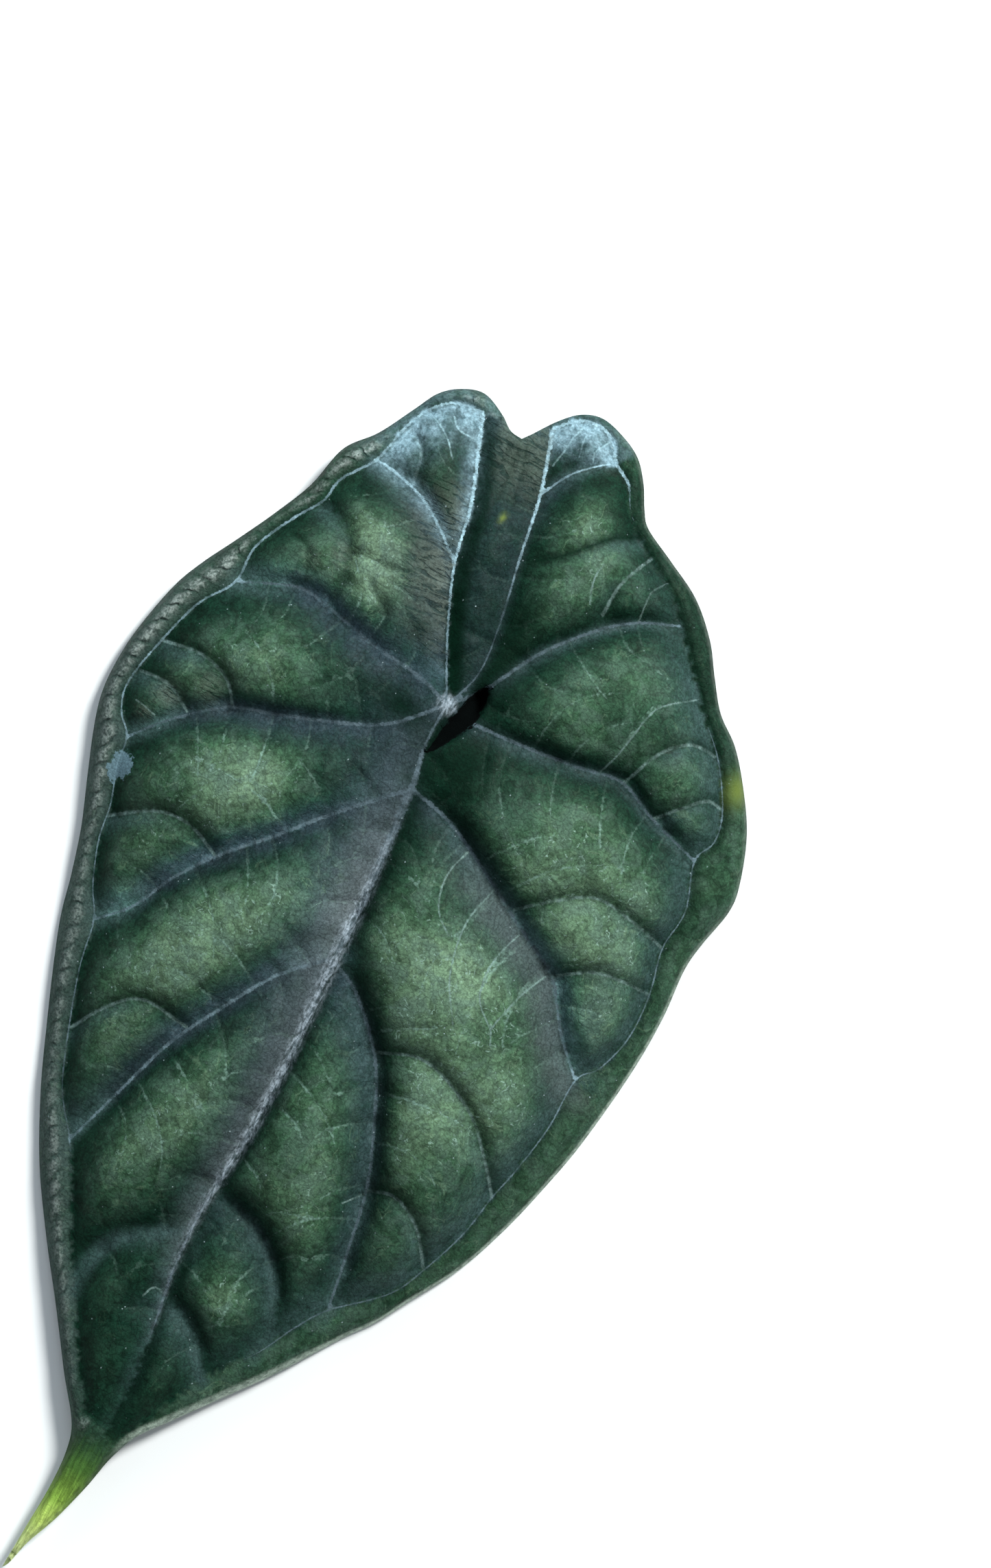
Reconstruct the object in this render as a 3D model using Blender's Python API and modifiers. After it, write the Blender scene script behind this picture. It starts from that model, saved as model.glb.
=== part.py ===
"""Picked leaf of a dragon scale alocasia, lying face up: a quilted, arched blade on its cut stalk.

Places are in millimetres while the leaf is laid out. The stalk joins the blade at x = 0, y = 0,
the drip tip points to -Y, the two rear lobes to +Y, and the surface that the leaf lies on is z = 0.
"""

import bmesh
import bpy
import numpy as np
from mathutils import Vector
from mathutils.geometry import delaunay_2d_cdt

MM = 0.001

# Driving dimensions of the blade
BLADE_THICKNESS = 1.0
PILLOW_HEIGHT = 7.5
PILLOW_REACH = 5.5
SCALE_HEIGHT = 2.3
SCALE_REACH = 2.6
SCALE_FADE = 0.5
MARGIN_SWELL = 1.5
MARGIN_SKEW = 0.7
MARGIN_ROLL = 2.2
MARGIN_WIDTH = 5.5
KNOB_DEPTH = 3.6
KNOB_RADIUS = 4.0
VEIN_ROUNDING = 0.7
MESH_STEP = 2.8

# Every pillow leans over the vein on its tip side, so its flank there is steep and the flank on
# the other side of that vein is gentle. At the midrib the right half leans over it, and at the
# right border the panels end in a steep flank.
STEEP_WAY = np.array((0.30, 0.95))
MIDRIB_STEEP_WAY = np.array((1.0, 0.0))
BORDER_STEEP_WAY = np.array((-1.0, 0.0))
LEAN = 0.42

# Driving dimensions of the stalk
STALK_RADIUS = 3.0
STALK_GAP = 0.3
STALK_FLAT_DEPTH = 0.25

# Height of the blade's middle line and of its edge above the surface, by place along the leaf
MIDDLE_HEIGHTS = [(62, 8.5), (50, 11.0), (25, 15.0), (0, 17.5), (-25, 18.0), (-50, 17.0),
                  (-80, 14.5), (-110, 11.0), (-140, 8.5), (-160, 7.4), (-184, 4.6)]
EDGE_HEIGHTS = [(62, 5.0), (50, 5.6), (25, 6.4), (0, 6.0), (-25, 5.0), (-50, 4.0),
                (-80, 3.3), (-110, 3.8), (-140, 5.0), (-160, 5.6), (-184, 4.2)]
ARCH_POWER = 1.7
# The middle line follows the midrib, and goes on behind the stalk to here
MIDDLE_END = (-6.0, 30.0)

# Outline, from the notch between the lobes down each side to the drip tip
NOTCH = (-11.2, 51.2)
TIP = (0.2, -184.0)
LEFT_EDGE = [NOTCH, (-13.8, 51.6), (-17.0, 53.9), (-21.6, 55.7), (-26.0, 54.3), (-29.4, 51.4),
             (-32.0, 46.6), (-35.8, 39.8), (-40.4, 34.0), (-42.6, 25.2), (-46.3, 17.0),
             (-50.1, 9.8), (-53.9, 3.0), (-56.7, -3.4), (-58.8, -12.0), (-59.8, -19.0),
             (-59.8, -27.0), (-58.2, -34.0), (-54.6, -44.0), (-51.4, -52.5), (-49.0, -61.0),
             (-46.4, -71.5), (-39.6, -89.6), (-34.5, -101.8), (-28.6, -113.4),
             (-21.5, -124.3), (-13.8, -135.0), (-6.4, -145.7), (-1.0, -153.0), (0.8, -158.4),
             (1.2, -166.0), (0.7, -175.0), TIP]
RIGHT_EDGE = [NOTCH, (-9.8, 53.0), (-7.0, 57.0), (-3.6, 60.4), (0.4, 61.8), (5.0, 60.8),
              (9.8, 58.4), (13.2, 54.4), (15.6, 50.2), (18.0, 47.2), (24.7, 43.7), (32.0, 39.7),
              (38.0, 34.0), (42.1, 28.1), (46.3, 22.5), (51.6, 18.2), (56.6, 12.0),
              (61.3, 4.5), (64.4, -4.2), (65.1, -10.0), (63.4, -18.0), (62.7, -24.0),
              (63.3, -34.0), (62.8, -46.0), (60.8, -61.3), (58.6, -71.5), (55.4, -83.0),
              (51.2, -93.8), (45.7, -103.2), (41.9, -109.8), (37.4, -115.8), (29.1, -127.8),
              (22.5, -136.2), (15.8, -144.6), (11.4, -150.2), (9.0, -156.0), (7.4, -163.0),
              (5.0, -171.0), (2.4, -177.4), (1.1, -182.4), TIP]

# Veins, each from its root to its end. The border vein runs along inside the whole edge.
MIDRIB = [(-0.4, 0.0), (-0.5, -9.0), (1.0, -17.1), (2.3, -35.0), (3.0, -51.8), (3.8, -69.0),
          (4.0, -86.4), (2.6, -106.0), (3.0, -118.0), (4.6, -129.0), (5.9, -140.0),
          (6.1, -153.0), (3.9, -164.0), (2.2, -172.0), (0.6, -181.0)]
LEFT_BORDER = [(-20.0, 52.2), (-25.5, 51.4), (-29.6, 47.6), (-32.0, 42.0), (-33.7, 35.0),
               (-38.0, 28.6), (-39.0, 23.5), (-42.4, 18.2), (-46.4, 9.9), (-46.7, 2.2),
               (-51.0, -4.6), (-54.0, -14.0), (-56.0, -24.0), (-54.6, -29.4), (-51.4, -33.3),
               (-50.6, -39.0), (-48.3, -46.0), (-47.2, -53.0), (-44.3, -61.0), (-41.0, -66.9),
               (-39.6, -74.5), (-37.8, -81.1), (-34.1, -92.0), (-31.0, -99.0), (-25.8, -106.0),
               (-21.6, -113.3), (-17.0, -122.2), (-12.0, -130.7), (-6.0, -140.5),
               (0.4, -150.2)]
RIGHT_BORDER = [(-6.4, 54.6), (-3.4, 58.4), (0.8, 59.4), (4.4, 58.0), (6.8, 55.4),
                (10.8, 52.8), (14.0, 48.0), (21.1, 42.6), (28.4, 37.6), (32.0, 33.7),
                (37.0, 28.2), (43.3, 21.0), (49.6, 14.8), (55.0, 6.4), (56.4, 0.4),
                (54.7, -4.6), (57.6, -13.8), (57.0, -22.0), (58.9, -31.0), (59.2, -40.0),
                (57.0, -47.6), (53.9, -51.8), (53.6, -62.0), (51.9, -72.0), (50.2, -78.8),
                (48.6, -87.4), (45.1, -97.0), (41.4, -104.0), (32.5, -112.1), (28.4, -118.0),
                (24.3, -125.5), (17.7, -134.0), (12.6, -144.6), (8.6, -153.0)]
MAIN_VEINS = {
    "left_1": [(1.0, -17.1), (-8.8, -26.9), (-17.9, -37.0), (-25.9, -45.5), (-31.5, -53.3),
               (-35.5, -61.1), (-41.0, -66.9)],
    "left_2": [(3.0, -51.8), (-5.5, -60.3), (-12.8, -72.2), (-17.5, -81.1), (-21.5, -92.9),
               (-25.8, -106.0)],
    "left_3": [(2.6, -109.5), (-3.5, -112.9), (-8.9, -117.5), (-11.8, -124.2),
               (-12.0, -130.7)],
    "left_rear_1": [(-0.4, 0.0), (-7.9, -7.8), (-16.2, -12.1), (-27.4, -16.2), (-36.9, -19.5),
                    (-45.7, -26.8), (-51.4, -33.3)],
    "left_rear_2": [(-0.4, 0.0), (-7.5, 2.3), (-17.3, 3.5), (-26.7, 5.6), (-34.4, 6.9),
                    (-40.5, 5.0), (-46.7, 2.2)],
    "left_rear_3": [(-0.4, 0.0), (-3.6, 6.0), (-7.5, 14.2), (-11.4, 24.2), (-13.8, 35.6),
                    (-17.7, 46.2), (-20.0, 52.2)],
    "left_rear_4": [(-11.4, 24.2), (-16.6, 28.6), (-22.5, 32.4), (-29.0, 34.4),
                    (-33.7, 35.0)],
    "right_1": [(1.0, -17.1), (10.4, -19.4), (21.1, -25.0), (32.5, -31.6), (40.8, -36.3),
                (47.2, -44.9), (53.9, -51.8)],
    "right_2": [(3.2, -52.6), (10.0, -56.4), (18.6, -65.7), (23.8, -76.1), (28.2, -87.6),
                (30.6, -100.0), (32.5, -112.1)],
    "right_3": [(2.6, -102.6), (8.8, -102.2), (15.2, -105.2), (21.0, -111.1), (24.5, -118.8),
                (24.3, -125.5)],
    "right_4": [(4.6, -124.4), (8.6, -125.2), (13.0, -128.4), (17.7, -134.0)],
    "right_rear_1": [(-0.4, 0.0), (5.7, -0.9), (16.7, -0.2), (27.3, 1.0), (35.6, 2.3),
                     (44.0, -1.2), (54.7, -4.6)],
    "right_rear_2": [(-0.4, 0.0), (4.5, 5.6), (10.7, 16.6), (17.7, 25.0), (24.0, 30.2),
                     (32.0, 33.7)],
    "right_rear_3": [(-0.4, 0.0), (2.2, 8.0), (1.4, 18.1), (-1.0, 30.9), (-3.1, 43.2),
                     (-6.4, 54.6)],
    "right_rear_4": [(-3.1, 43.2), (-0.4, 48.6), (3.0, 52.4), (6.8, 55.4)],
}

# Lesser veins, which bound the overlapping scales between the main ones
SCALE_VEINS = [
    [(28.7, -28.4), (33.8, -24.0), (41.1, -19.4), (49.0, -20.0), (57.0, -22.0)],
    [(40.8, -36.3), (47.2, -32.1), (53.0, -31.0), (58.9, -31.0)],
    [(17.9, -64.2), (27.0, -61.3), (38.4, -65.8), (45.4, -72.7), (50.2, -78.8)],
    [(28.4, -88.4), (33.7, -86.9), (40.0, -90.2), (45.1, -97.0)],
    [(-35.6, -87.4), (-31.3, -80.5), (-25.7, -75.8), (-15.9, -76.6)],
    [(-48.0, -48.4), (-40.0, -43.2), (-33.0, -42.4), (-25.9, -45.5)],
    [(-54.0, -14.0), (-45.9, -12.9), (-39.6, -14.8), (-36.0, -19.1)],
    [(-55.5, -21.0), (-48.8, -20.8), (-43.4, -23.8)],
    [(36.0, 2.3), (39.3, 10.2), (44.0, 14.6), (49.6, 14.8)],
    [(44.0, -1.2), (47.8, 3.0), (51.6, 6.6), (55.0, 6.4)],
    [(17.8, 28.6), (18.2, 35.3), (21.1, 42.6)],
    [(-31.6, 43.0), (-27.0, 40.4), (-25.3, 33.6)],
]

# Creases that part two lobes of one panel without a vein
CREASES = [
    [(-38.2, 23.3), (-34.4, 22.0), (-31.8, 20.2), (-29.9, 16.9), (-28.3, 11.9), (-28.8, 7.2)],
    [(2.0, 31.8), (5.8, 34.8), (9.9, 39.1), (12.8, 42.3), (17.6, 45.2)],
]

# The blade rests on the lowest point of each side, which lies further out than this
SIDE_START = 20.0

# How far each rib stands out below the blade at its root, how wide it is, what is left of the
# midrib at the tip, and what the side ribs lose towards their ends
MIDRIB_DEPTH = 2.6
SIDE_RIB_DEPTH = 1.5
BORDER_RIB_DEPTH = 0.5
RIB_WIDTH = 1.6
LEAST_MIDRIB = 0.12
SIDE_RIB_LOSS = 0.7

# Stalk, from the middle of the knob under the blade to its cut end. Heights follow the knob.
STALK_PATH = [(-0.4, 0.0), (-0.5, 0.9), (-1.0, 3.6), (-2.2, 9.0), (-4.0, 17.0), (-6.4, 29.0),
              (-8.8, 43.0)]
STALK_DROPS = [0.0, 0.30, 0.66, 0.93, 1.0, 1.0, 1.0]
STALK_SWELLS = [1.25, 1.08, 1.0, 0.98, 1.0, 1.06, 1.14]

# Spacing of points on smooth lines, before they are spread evenly
FINE_STEP = 0.25
# Points of two lines closer together than this share of the mesh step become one
WELD_SHARE = 0.45
# Rows of points run beside each vein at the first share of the step, and no others come nearer
# to a line or a point than the second
SIDE_SHARE = 0.75
FILL_SHARE = 0.65


def smooth_line(points, step):
    """Evenly spaced points, about a step apart, on a smooth curve through the given ones."""
    knots = np.array(points, float)
    ends = (2 * knots[:1] - knots[1:2], knots, 2 * knots[-1:] - knots[-2:-1])
    held = np.concatenate(ends)
    dense = []
    for before, start, end, after in zip(held, held[1:], held[2:], held[3:]):
        count = max(2, int(np.linalg.norm(end - start) / FINE_STEP))
        t = np.arange(count)[:, None] / count
        leave, arrive = (end - before) / 2, (after - start) / 2
        dense.append((2 * t**3 - 3 * t**2 + 1) * start + (t**3 - 2 * t**2 + t) * leave
                     + (3 * t**2 - 2 * t**3) * end + (t**3 - t**2) * arrive)
    dense = np.concatenate(dense + [knots[-1:]])
    run = np.concatenate([[0], np.cumsum(np.linalg.norm(np.diff(dense, axis=0), axis=1))])
    places = np.linspace(0, run[-1], max(2, round(run[-1] / step) + 1))
    return np.stack([np.interp(places, run, axis) for axis in dense.T], axis=1)


class Nearness:
    """Where each point lies from a line: its gap, the unit way to it, and its share along."""

    def __init__(self, points, line):
        self.gap = np.full(len(points), np.inf)
        self.way = np.zeros((len(points), 2))
        self.share = np.zeros(len(points))
        for index, (start, end) in enumerate(zip(line[:-1], line[1:])):
            along = end - start
            part = np.clip((points - start) @ along / (along @ along), 0, 1)
            away = points - start - part[:, None] * along
            gap = np.hypot(*away.T)
            closer = gap < self.gap
            self.gap[closer], self.way[closer] = gap[closer], away[closer]
            self.share[closer] = (index + part[closer]) / (len(line) - 1)
        self.way /= np.hypot(*self.way.T)[:, None] + 1e-9


def across_line(line):
    """The sideways direction at each point of a line."""
    along = np.gradient(line, axis=0)
    along /= np.linalg.norm(along, axis=1, keepdims=True)
    return np.stack([-along[:, 1], along[:, 0]], axis=1)


def is_inside(points, loop):
    """Whether each point lies inside a closed loop in plan."""
    x, y = points.T
    crossings = np.zeros(len(points), int)
    for (ax, ay), (bx, by) in zip(loop, np.roll(loop, -1, axis=0)):
        spans = (ay > y) != (by > y)
        if ay != by:
            crossings += spans & (x < ax + (y - ay) * (bx - ax) / (by - ay))
    return crossings % 2 == 1


def height_along(y, profile):
    """A height read from a smooth profile at each place along the leaf."""
    curve = smooth_line(sorted(profile), 1.0)
    return np.interp(y, curve[:, 0], curve[:, 1])


def flank(near, reach, steep_way=STEEP_WAY):
    """How far the lamina has risen beside a vein, from 0 to 1, sooner on the steep side."""
    eased = np.sqrt(near.gap**2 + VEIN_ROUNDING**2) - VEIN_ROUNDING
    return 1 - np.exp(-eased / (reach * (1 - LEAN * (near.way @ steep_way))))


class Layout:
    """The leaf's lines in plan, with their points a step apart."""

    def __init__(self, step):
        left, right = smooth_line(LEFT_EDGE, step), smooth_line(RIGHT_EDGE, step)
        self.edge = np.concatenate([left, right[-2:0:-1]])
        self.midrib = smooth_line(MIDRIB, step)
        self.borders = [smooth_line(LEFT_BORDER, step), smooth_line(RIGHT_BORDER, step)]
        self.sides = [smooth_line(line, step) for line in MAIN_VEINS.values()]
        self.scales = [smooth_line(line, step) for line in SCALE_VEINS + CREASES]
        self.field = np.concatenate([self.borders[0], self.borders[1][::-1]])


def plan_mesh(layout, step):
    """Points and triangles that fill the outline, with edges along every vein."""
    points, links = [], []

    def add_line(line, closed=False):
        indices = []
        for place in line:
            gaps = np.hypot(*(np.array(points) - place).T) if points and not closed else [np.inf]
            if min(gaps) < WELD_SHARE * step:
                indices.append(int(np.argmin(gaps)))
            else:
                points.append(place)
                indices.append(len(points) - 1)
        pairs = list(zip(indices, indices[1:]))
        if closed:
            pairs.append((indices[-1], indices[0]))
        links.extend(pair for pair in pairs if pair[0] != pair[1])

    add_line(layout.edge, closed=True)
    for line in [layout.midrib] + layout.borders + layout.sides + layout.scales:
        add_line(line)

    placed = np.array(points)
    beside = [line + way * SIDE_SHARE * step * across_line(line)
              for line in [layout.midrib] + layout.borders + layout.sides for way in (-1, 1)]
    low, high = layout.edge.min(axis=0), layout.edge.max(axis=0)
    rows = np.arange(low[1], high[1], step * np.sqrt(0.75))
    columns = np.arange(low[0], high[0], step)
    grid = np.array([(x + step / 2 * (row % 2), y) for row, y in enumerate(rows) for x in columns])
    for fill in [*beside, grid]:
        fill = fill[is_inside(fill, layout.edge)]
        for start, end in links:
            fill = fill[Nearness(fill, placed[[start, end]]).gap > FILL_SHARE * step]
        for place in fill:
            if np.hypot(*(np.array(points) - place).T).min() > FILL_SHARE * step:
                points.append(place)
    everything = [Vector(place) for place in points]
    made = delaunay_2d_cdt(everything, links, [], 1, 1e-4)
    return np.array([v[:] for v in made[0]]), [tuple(face) for face in made[2]]


class Field:
    """What every point of the blade knows of its surroundings, in millimetres."""

    def __init__(self, points, layout):
        self.points = points
        self.edge = Nearness(points, np.concatenate([layout.edge, layout.edge[:1]])).gap
        self.axis = Nearness(points, np.concatenate([[MIDDLE_END], layout.midrib])).gap
        self.midrib = Nearness(points, layout.midrib)
        self.borders = [Nearness(points, line) for line in layout.borders]
        self.border = np.minimum(self.borders[0].gap, self.borders[1].gap)
        self.sides = [Nearness(points, line) for line in layout.sides]
        self.scales = [Nearness(points, line) for line in layout.scales]
        self.inside = is_inside(points, layout.field)
        self.knob = np.hypot(*(points - layout.midrib[0]).T)


def blade_height(field):
    """Height of the blade's upper face: the arched whole, its pillows, and its rolled edge."""
    y = field.points[:, 1]
    across = field.axis / (field.axis + field.edge + 1e-9)
    middle, edge = height_along(y, MIDDLE_HEIGHTS), height_along(y, EDGE_HEIGHTS)
    arch = middle + (edge - middle) * across**ARCH_POWER

    pillow = flank(field.midrib, PILLOW_REACH, MIDRIB_STEEP_WAY)
    pillow *= flank(field.borders[1], PILLOW_REACH, BORDER_STEEP_WAY)
    for near in [field.borders[0]] + field.sides:
        pillow *= flank(near, PILLOW_REACH)
    scale = np.ones(len(y))
    for near in field.scales:
        scale *= flank(near, SCALE_REACH)
    raised = PILLOW_HEIGHT * pillow - SCALE_HEIGHT * (1 - scale) * pillow**SCALE_FADE

    band = field.edge + np.minimum(field.border, field.midrib.gap) + 1e-9
    share = field.edge / band
    crest = share**MARGIN_SKEW
    margin = MARGIN_SWELL * 4 * crest * (1 - crest) - MARGIN_ROLL * (1 - share)**2
    margin *= np.minimum(1, band / MARGIN_WIDTH)
    return arch + np.where(field.inside, raised, margin)


def rib_depth(field):
    """How much thicker the blade is here than its lamina, for the ribs and the knob below."""
    fade = np.clip(1 - field.points[:, 1] / TIP[1], LEAST_MIDRIB, 1)
    depth = MIDRIB_DEPTH * np.exp(-(field.midrib.gap / RIB_WIDTH)**2) * fade
    for near in field.sides:
        taper = 1 - SIDE_RIB_LOSS * near.share
        depth = np.maximum(depth, SIDE_RIB_DEPTH * np.exp(-(near.gap / RIB_WIDTH)**2) * taper)
    depth = np.maximum(depth, BORDER_RIB_DEPTH * np.exp(-(field.border / RIB_WIDTH)**2))
    return np.maximum(depth, KNOB_DEPTH * np.exp(-(field.knob / KNOB_RADIUS)**2))


def principled(name, colour, roughness):
    material = bpy.data.materials.new(name)
    material.use_nodes = True
    shader = material.node_tree.nodes["Principled BSDF"]
    shader.inputs["Base Color"].default_value = (*colour, 1)
    shader.inputs["Roughness"].default_value = roughness
    shader.inputs["Metallic"].default_value = 0
    material.diffuse_color = (*colour, 1)
    return material


def add_object(name, mesh, collection, material=None):
    made = bpy.data.objects.new(name, mesh)
    collection.objects.link(made)
    if material:
        mesh.materials.append(material)
    return made


def bake_modifiers(thing):
    """The object's mesh with its modifiers applied."""
    graph = bpy.context.evaluated_depsgraph_get()
    mesh = bpy.data.meshes.new_from_object(thing.evaluated_get(graph), depsgraph=graph)
    thing.modifiers.clear()
    thing.data = mesh
    return mesh


def settle(mesh):
    """Leans and lowers the blade until its left and right sides each touch the surface."""
    for _ in range(3):
        places = np.empty(len(mesh.vertices) * 3, np.float32)
        mesh.vertices.foreach_get("co", places)
        places = places.reshape(-1, 3)
        left, right = (places[way * places[:, 0] > SIDE_START * MM] for way in (-1, 1))
        low_left, low_right = left[left[:, 2].argmin()], right[right[:, 2].argmin()]
        lean = (low_right[2] - low_left[2]) / (low_right[0] - low_left[0])
        places[:, 2] -= low_left[2] + lean * (places[:, 0] - low_left[0])
        mesh.vertices.foreach_set("co", places.ravel())
    mesh.update()


def make_blade(collection, centre):
    layout = Layout(MESH_STEP)
    points, faces = plan_mesh(layout, MESH_STEP)
    field = Field(points, layout)
    heights, depths = blade_height(field), rib_depth(field)
    thickest = BLADE_THICKNESS + depths.max()

    mesh = bpy.data.meshes.new("blade")
    places = np.column_stack([points - centre, heights]) * MM
    mesh.from_pydata(places.tolist(), [], faces)
    shell = bmesh.new()
    shell.from_mesh(mesh)
    bmesh.ops.recalc_face_normals(shell, faces=shell.faces)
    if sum(face.normal.z for face in shell.faces) < 0:
        bmesh.ops.reverse_faces(shell, faces=shell.faces)
    shell.to_mesh(mesh)
    shell.free()

    material = principled("blade_green", (0.05, 0.13, 0.07), 0.45)
    blade = add_object("blade", mesh, collection, material)
    group = blade.vertex_groups.new(name="thickness")
    for index, depth in enumerate(depths):
        group.add([index], (BLADE_THICKNESS + depth) / thickest, "REPLACE")
    solidify = blade.modifiers.new("lamina_and_ribs", "SOLIDIFY")
    solidify.thickness = thickest * MM
    solidify.offset = -1
    solidify.vertex_group = "thickness"
    solidify.thickness_vertex_group = 0
    mesh = bake_modifiers(blade)
    settle(mesh)
    mesh.shade_smooth()
    return blade


def knob_height(blade, centre):
    """Height of the lowest point of the knob, where the stalk begins."""
    root = np.array(MIDRIB[0]) - centre
    low = [v.co.z / MM for v in blade.data.vertices
           if np.hypot(v.co.x / MM - root[0], v.co.y / MM - root[1]) < STALK_RADIUS]
    return min(low)


def make_stalk(collection, cutters, centre, top):
    lying = STALK_RADIUS * STALK_SWELLS[-1] - STALK_FLAT_DEPTH
    curve = bpy.data.curves.new("petiole", "CURVE")
    curve.dimensions = "3D"
    curve.bevel_depth = STALK_RADIUS * MM
    curve.bevel_resolution = 4
    curve.use_fill_caps = True
    curve.resolution_u = 5
    line = curve.splines.new("BEZIER")
    line.bezier_points.add(len(STALK_PATH) - 1)
    knots = zip(line.bezier_points, STALK_PATH, STALK_DROPS, STALK_SWELLS)
    for point, (x, y), drop, swell in knots:
        rest = STALK_RADIUS * swell - STALK_FLAT_DEPTH
        z = top - STALK_GAP + (rest - top + STALK_GAP) * drop
        point.co = ((x - centre[0]) * MM, (y - centre[1]) * MM, z * MM)
        point.handle_left_type = point.handle_right_type = "AUTO"
        point.radius = swell
    first = line.bezier_points[0]
    first.handle_left_type = first.handle_right_type = "FREE"
    first.handle_left = first.co + Vector((0, 0, 1)) * MM
    first.handle_right = first.co - Vector((0, 0, 1)) * MM

    tube = bpy.data.objects.new("petiole_tube", curve)
    collection.objects.link(tube)
    graph = bpy.context.evaluated_depsgraph_get()
    mesh = bpy.data.meshes.new_from_object(tube.evaluated_get(graph), depsgraph=graph)
    bpy.data.objects.remove(tube)
    solid = bmesh.new()
    solid.from_mesh(mesh)
    bmesh.ops.remove_doubles(solid, verts=solid.verts, dist=0.01 * MM)
    bmesh.ops.recalc_face_normals(solid, faces=solid.faces)
    solid.to_mesh(mesh)
    solid.free()
    mesh.materials.clear()
    material = principled("petiole_green", (0.30, 0.34, 0.16), 0.5)
    stalk = add_object("petiole", mesh, collection, material)

    bpy.ops.mesh.primitive_cube_add(size=1, location=(0, 0, -lying * MM))
    slab = bpy.context.object
    slab.name = "surface_cutter"
    slab.scale = (200 * MM, 300 * MM, 2 * lying * MM)
    for owner in list(slab.users_collection):
        owner.objects.unlink(slab)
    cutters.objects.link(slab)
    slab.display_type = "WIRE"
    slab.hide_render = True
    cut = stalk.modifiers.new("flat_on_the_surface", "BOOLEAN")
    cut.operation = "DIFFERENCE"
    cut.object = slab
    mesh.shade_smooth()
    return stalk


def main():
    for thing in list(bpy.data.objects):
        bpy.data.objects.remove(thing)
    leaf = bpy.data.collections.new("dragon_scale_alocasia_leaf")
    cutters = bpy.data.collections.new("cutters")
    for made in (leaf, cutters):
        bpy.context.scene.collection.children.link(made)

    edge = Layout(MESH_STEP).edge
    centre = (edge.min(axis=0) + edge.max(axis=0)) / 2
    blade = make_blade(leaf, centre)
    make_stalk(leaf, cutters, centre, knob_height(blade, centre))


main()
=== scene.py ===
"""Dragon scale alocasia leaf, picked and laid face up on a pale surface, seen from straight above.

The leaf is laid out in millimetres. Its stalk joins the blade at x = 0, y = 0, the drip tip
points to -Y and the two rear lobes to +Y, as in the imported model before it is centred.
"""

import math

import bmesh
import bpy
import numpy as np
from mathutils import Matrix, Vector, noise
from mathutils.geometry import delaunay_2d_cdt


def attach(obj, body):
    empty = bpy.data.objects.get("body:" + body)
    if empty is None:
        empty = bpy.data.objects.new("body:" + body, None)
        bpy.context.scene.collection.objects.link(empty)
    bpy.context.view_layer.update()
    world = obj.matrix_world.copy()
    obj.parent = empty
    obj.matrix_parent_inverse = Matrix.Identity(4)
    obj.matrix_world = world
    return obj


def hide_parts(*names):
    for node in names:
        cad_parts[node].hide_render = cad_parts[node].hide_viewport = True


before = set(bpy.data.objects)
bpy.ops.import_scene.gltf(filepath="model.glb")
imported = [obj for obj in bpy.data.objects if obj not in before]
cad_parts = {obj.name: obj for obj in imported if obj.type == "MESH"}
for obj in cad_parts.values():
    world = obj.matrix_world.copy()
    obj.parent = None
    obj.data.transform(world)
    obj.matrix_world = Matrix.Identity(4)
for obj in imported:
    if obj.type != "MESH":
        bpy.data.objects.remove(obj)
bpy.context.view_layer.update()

MM = 0.001
TINY = 1e-9

# Far enough from a line, in millimetres or in shares of its width, to show nothing of it
FAR = 9.0

# Blade
BLADE_THICKNESS = 1.0
PILLOW_HEIGHT = 7.5
PILLOW_REACH = 5.5
SCALE_HEIGHT = 2.3
SCALE_REACH = 2.6
MARGIN_SWELL = 1.5
MARGIN_SKEW = 0.7
MARGIN_ROLL = 2.2
MARGIN_WIDTH = 5.5
KNOB_DEPTH = 3.6
KNOB_RADIUS = 4.0
VEIN_ROUNDING = 0.7

# The power of a pillow's rise by which the scales' creases fade out towards the veins
SCALE_FADE = 0.35

# Every pillow leans over the vein on its tip side, so its flank there is steep and the flank on
# the other side of that vein is gentle. At the midrib the right half leans over it, and at the
# right border the panels end in a steep flank.
STEEP_WAY = np.array((0.30, 0.95))
MIDRIB_STEEP_WAY = np.array((1.0, 0.0))
BORDER_STEEP_WAY = np.array((-1.0, 0.0))
LEAN = 0.42

# The slit beside the knob, where the right half folds over the midrib. Half its width is given,
# and its sides slope between these shares of it.
SLIT = [(4.8, 6.6), (4.1, 0.6), (2.2, -5.0), (0.2, -10.6)]
SLIT_WIDTH = 2.1
SLIT_DEPTH = 3.4
SLIT_SKEW = 0.7
SLIT_SLOPE = (1.2, 0.5)

# Stalk
STALK_RADIUS = 3.0
STALK_FLAT_DEPTH = 0.25

# Height of the blade's middle line and of its edge above the surface, by place along the leaf
MIDDLE_HEIGHTS = [
    (62, 8.5), (50, 11), (25, 15), (0, 17.5), (-25, 18), (-50, 17), (-80, 14.5), (-110, 11),
    (-140, 8.5), (-160, 7.4), (-184, 4.6)]
EDGE_HEIGHTS = [
    (62, 5), (50, 5.6), (25, 6.4), (0, 6), (-25, 5), (-50, 4), (-80, 3.3), (-110, 3.8), (-140, 5),
    (-160, 5.6), (-184, 4.2)]
ARCH_POWER = 1.7

# Behind the stalk the middle line runs on to here, between the lobes
MIDDLE_END = (-6.0, 30.0)

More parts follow.
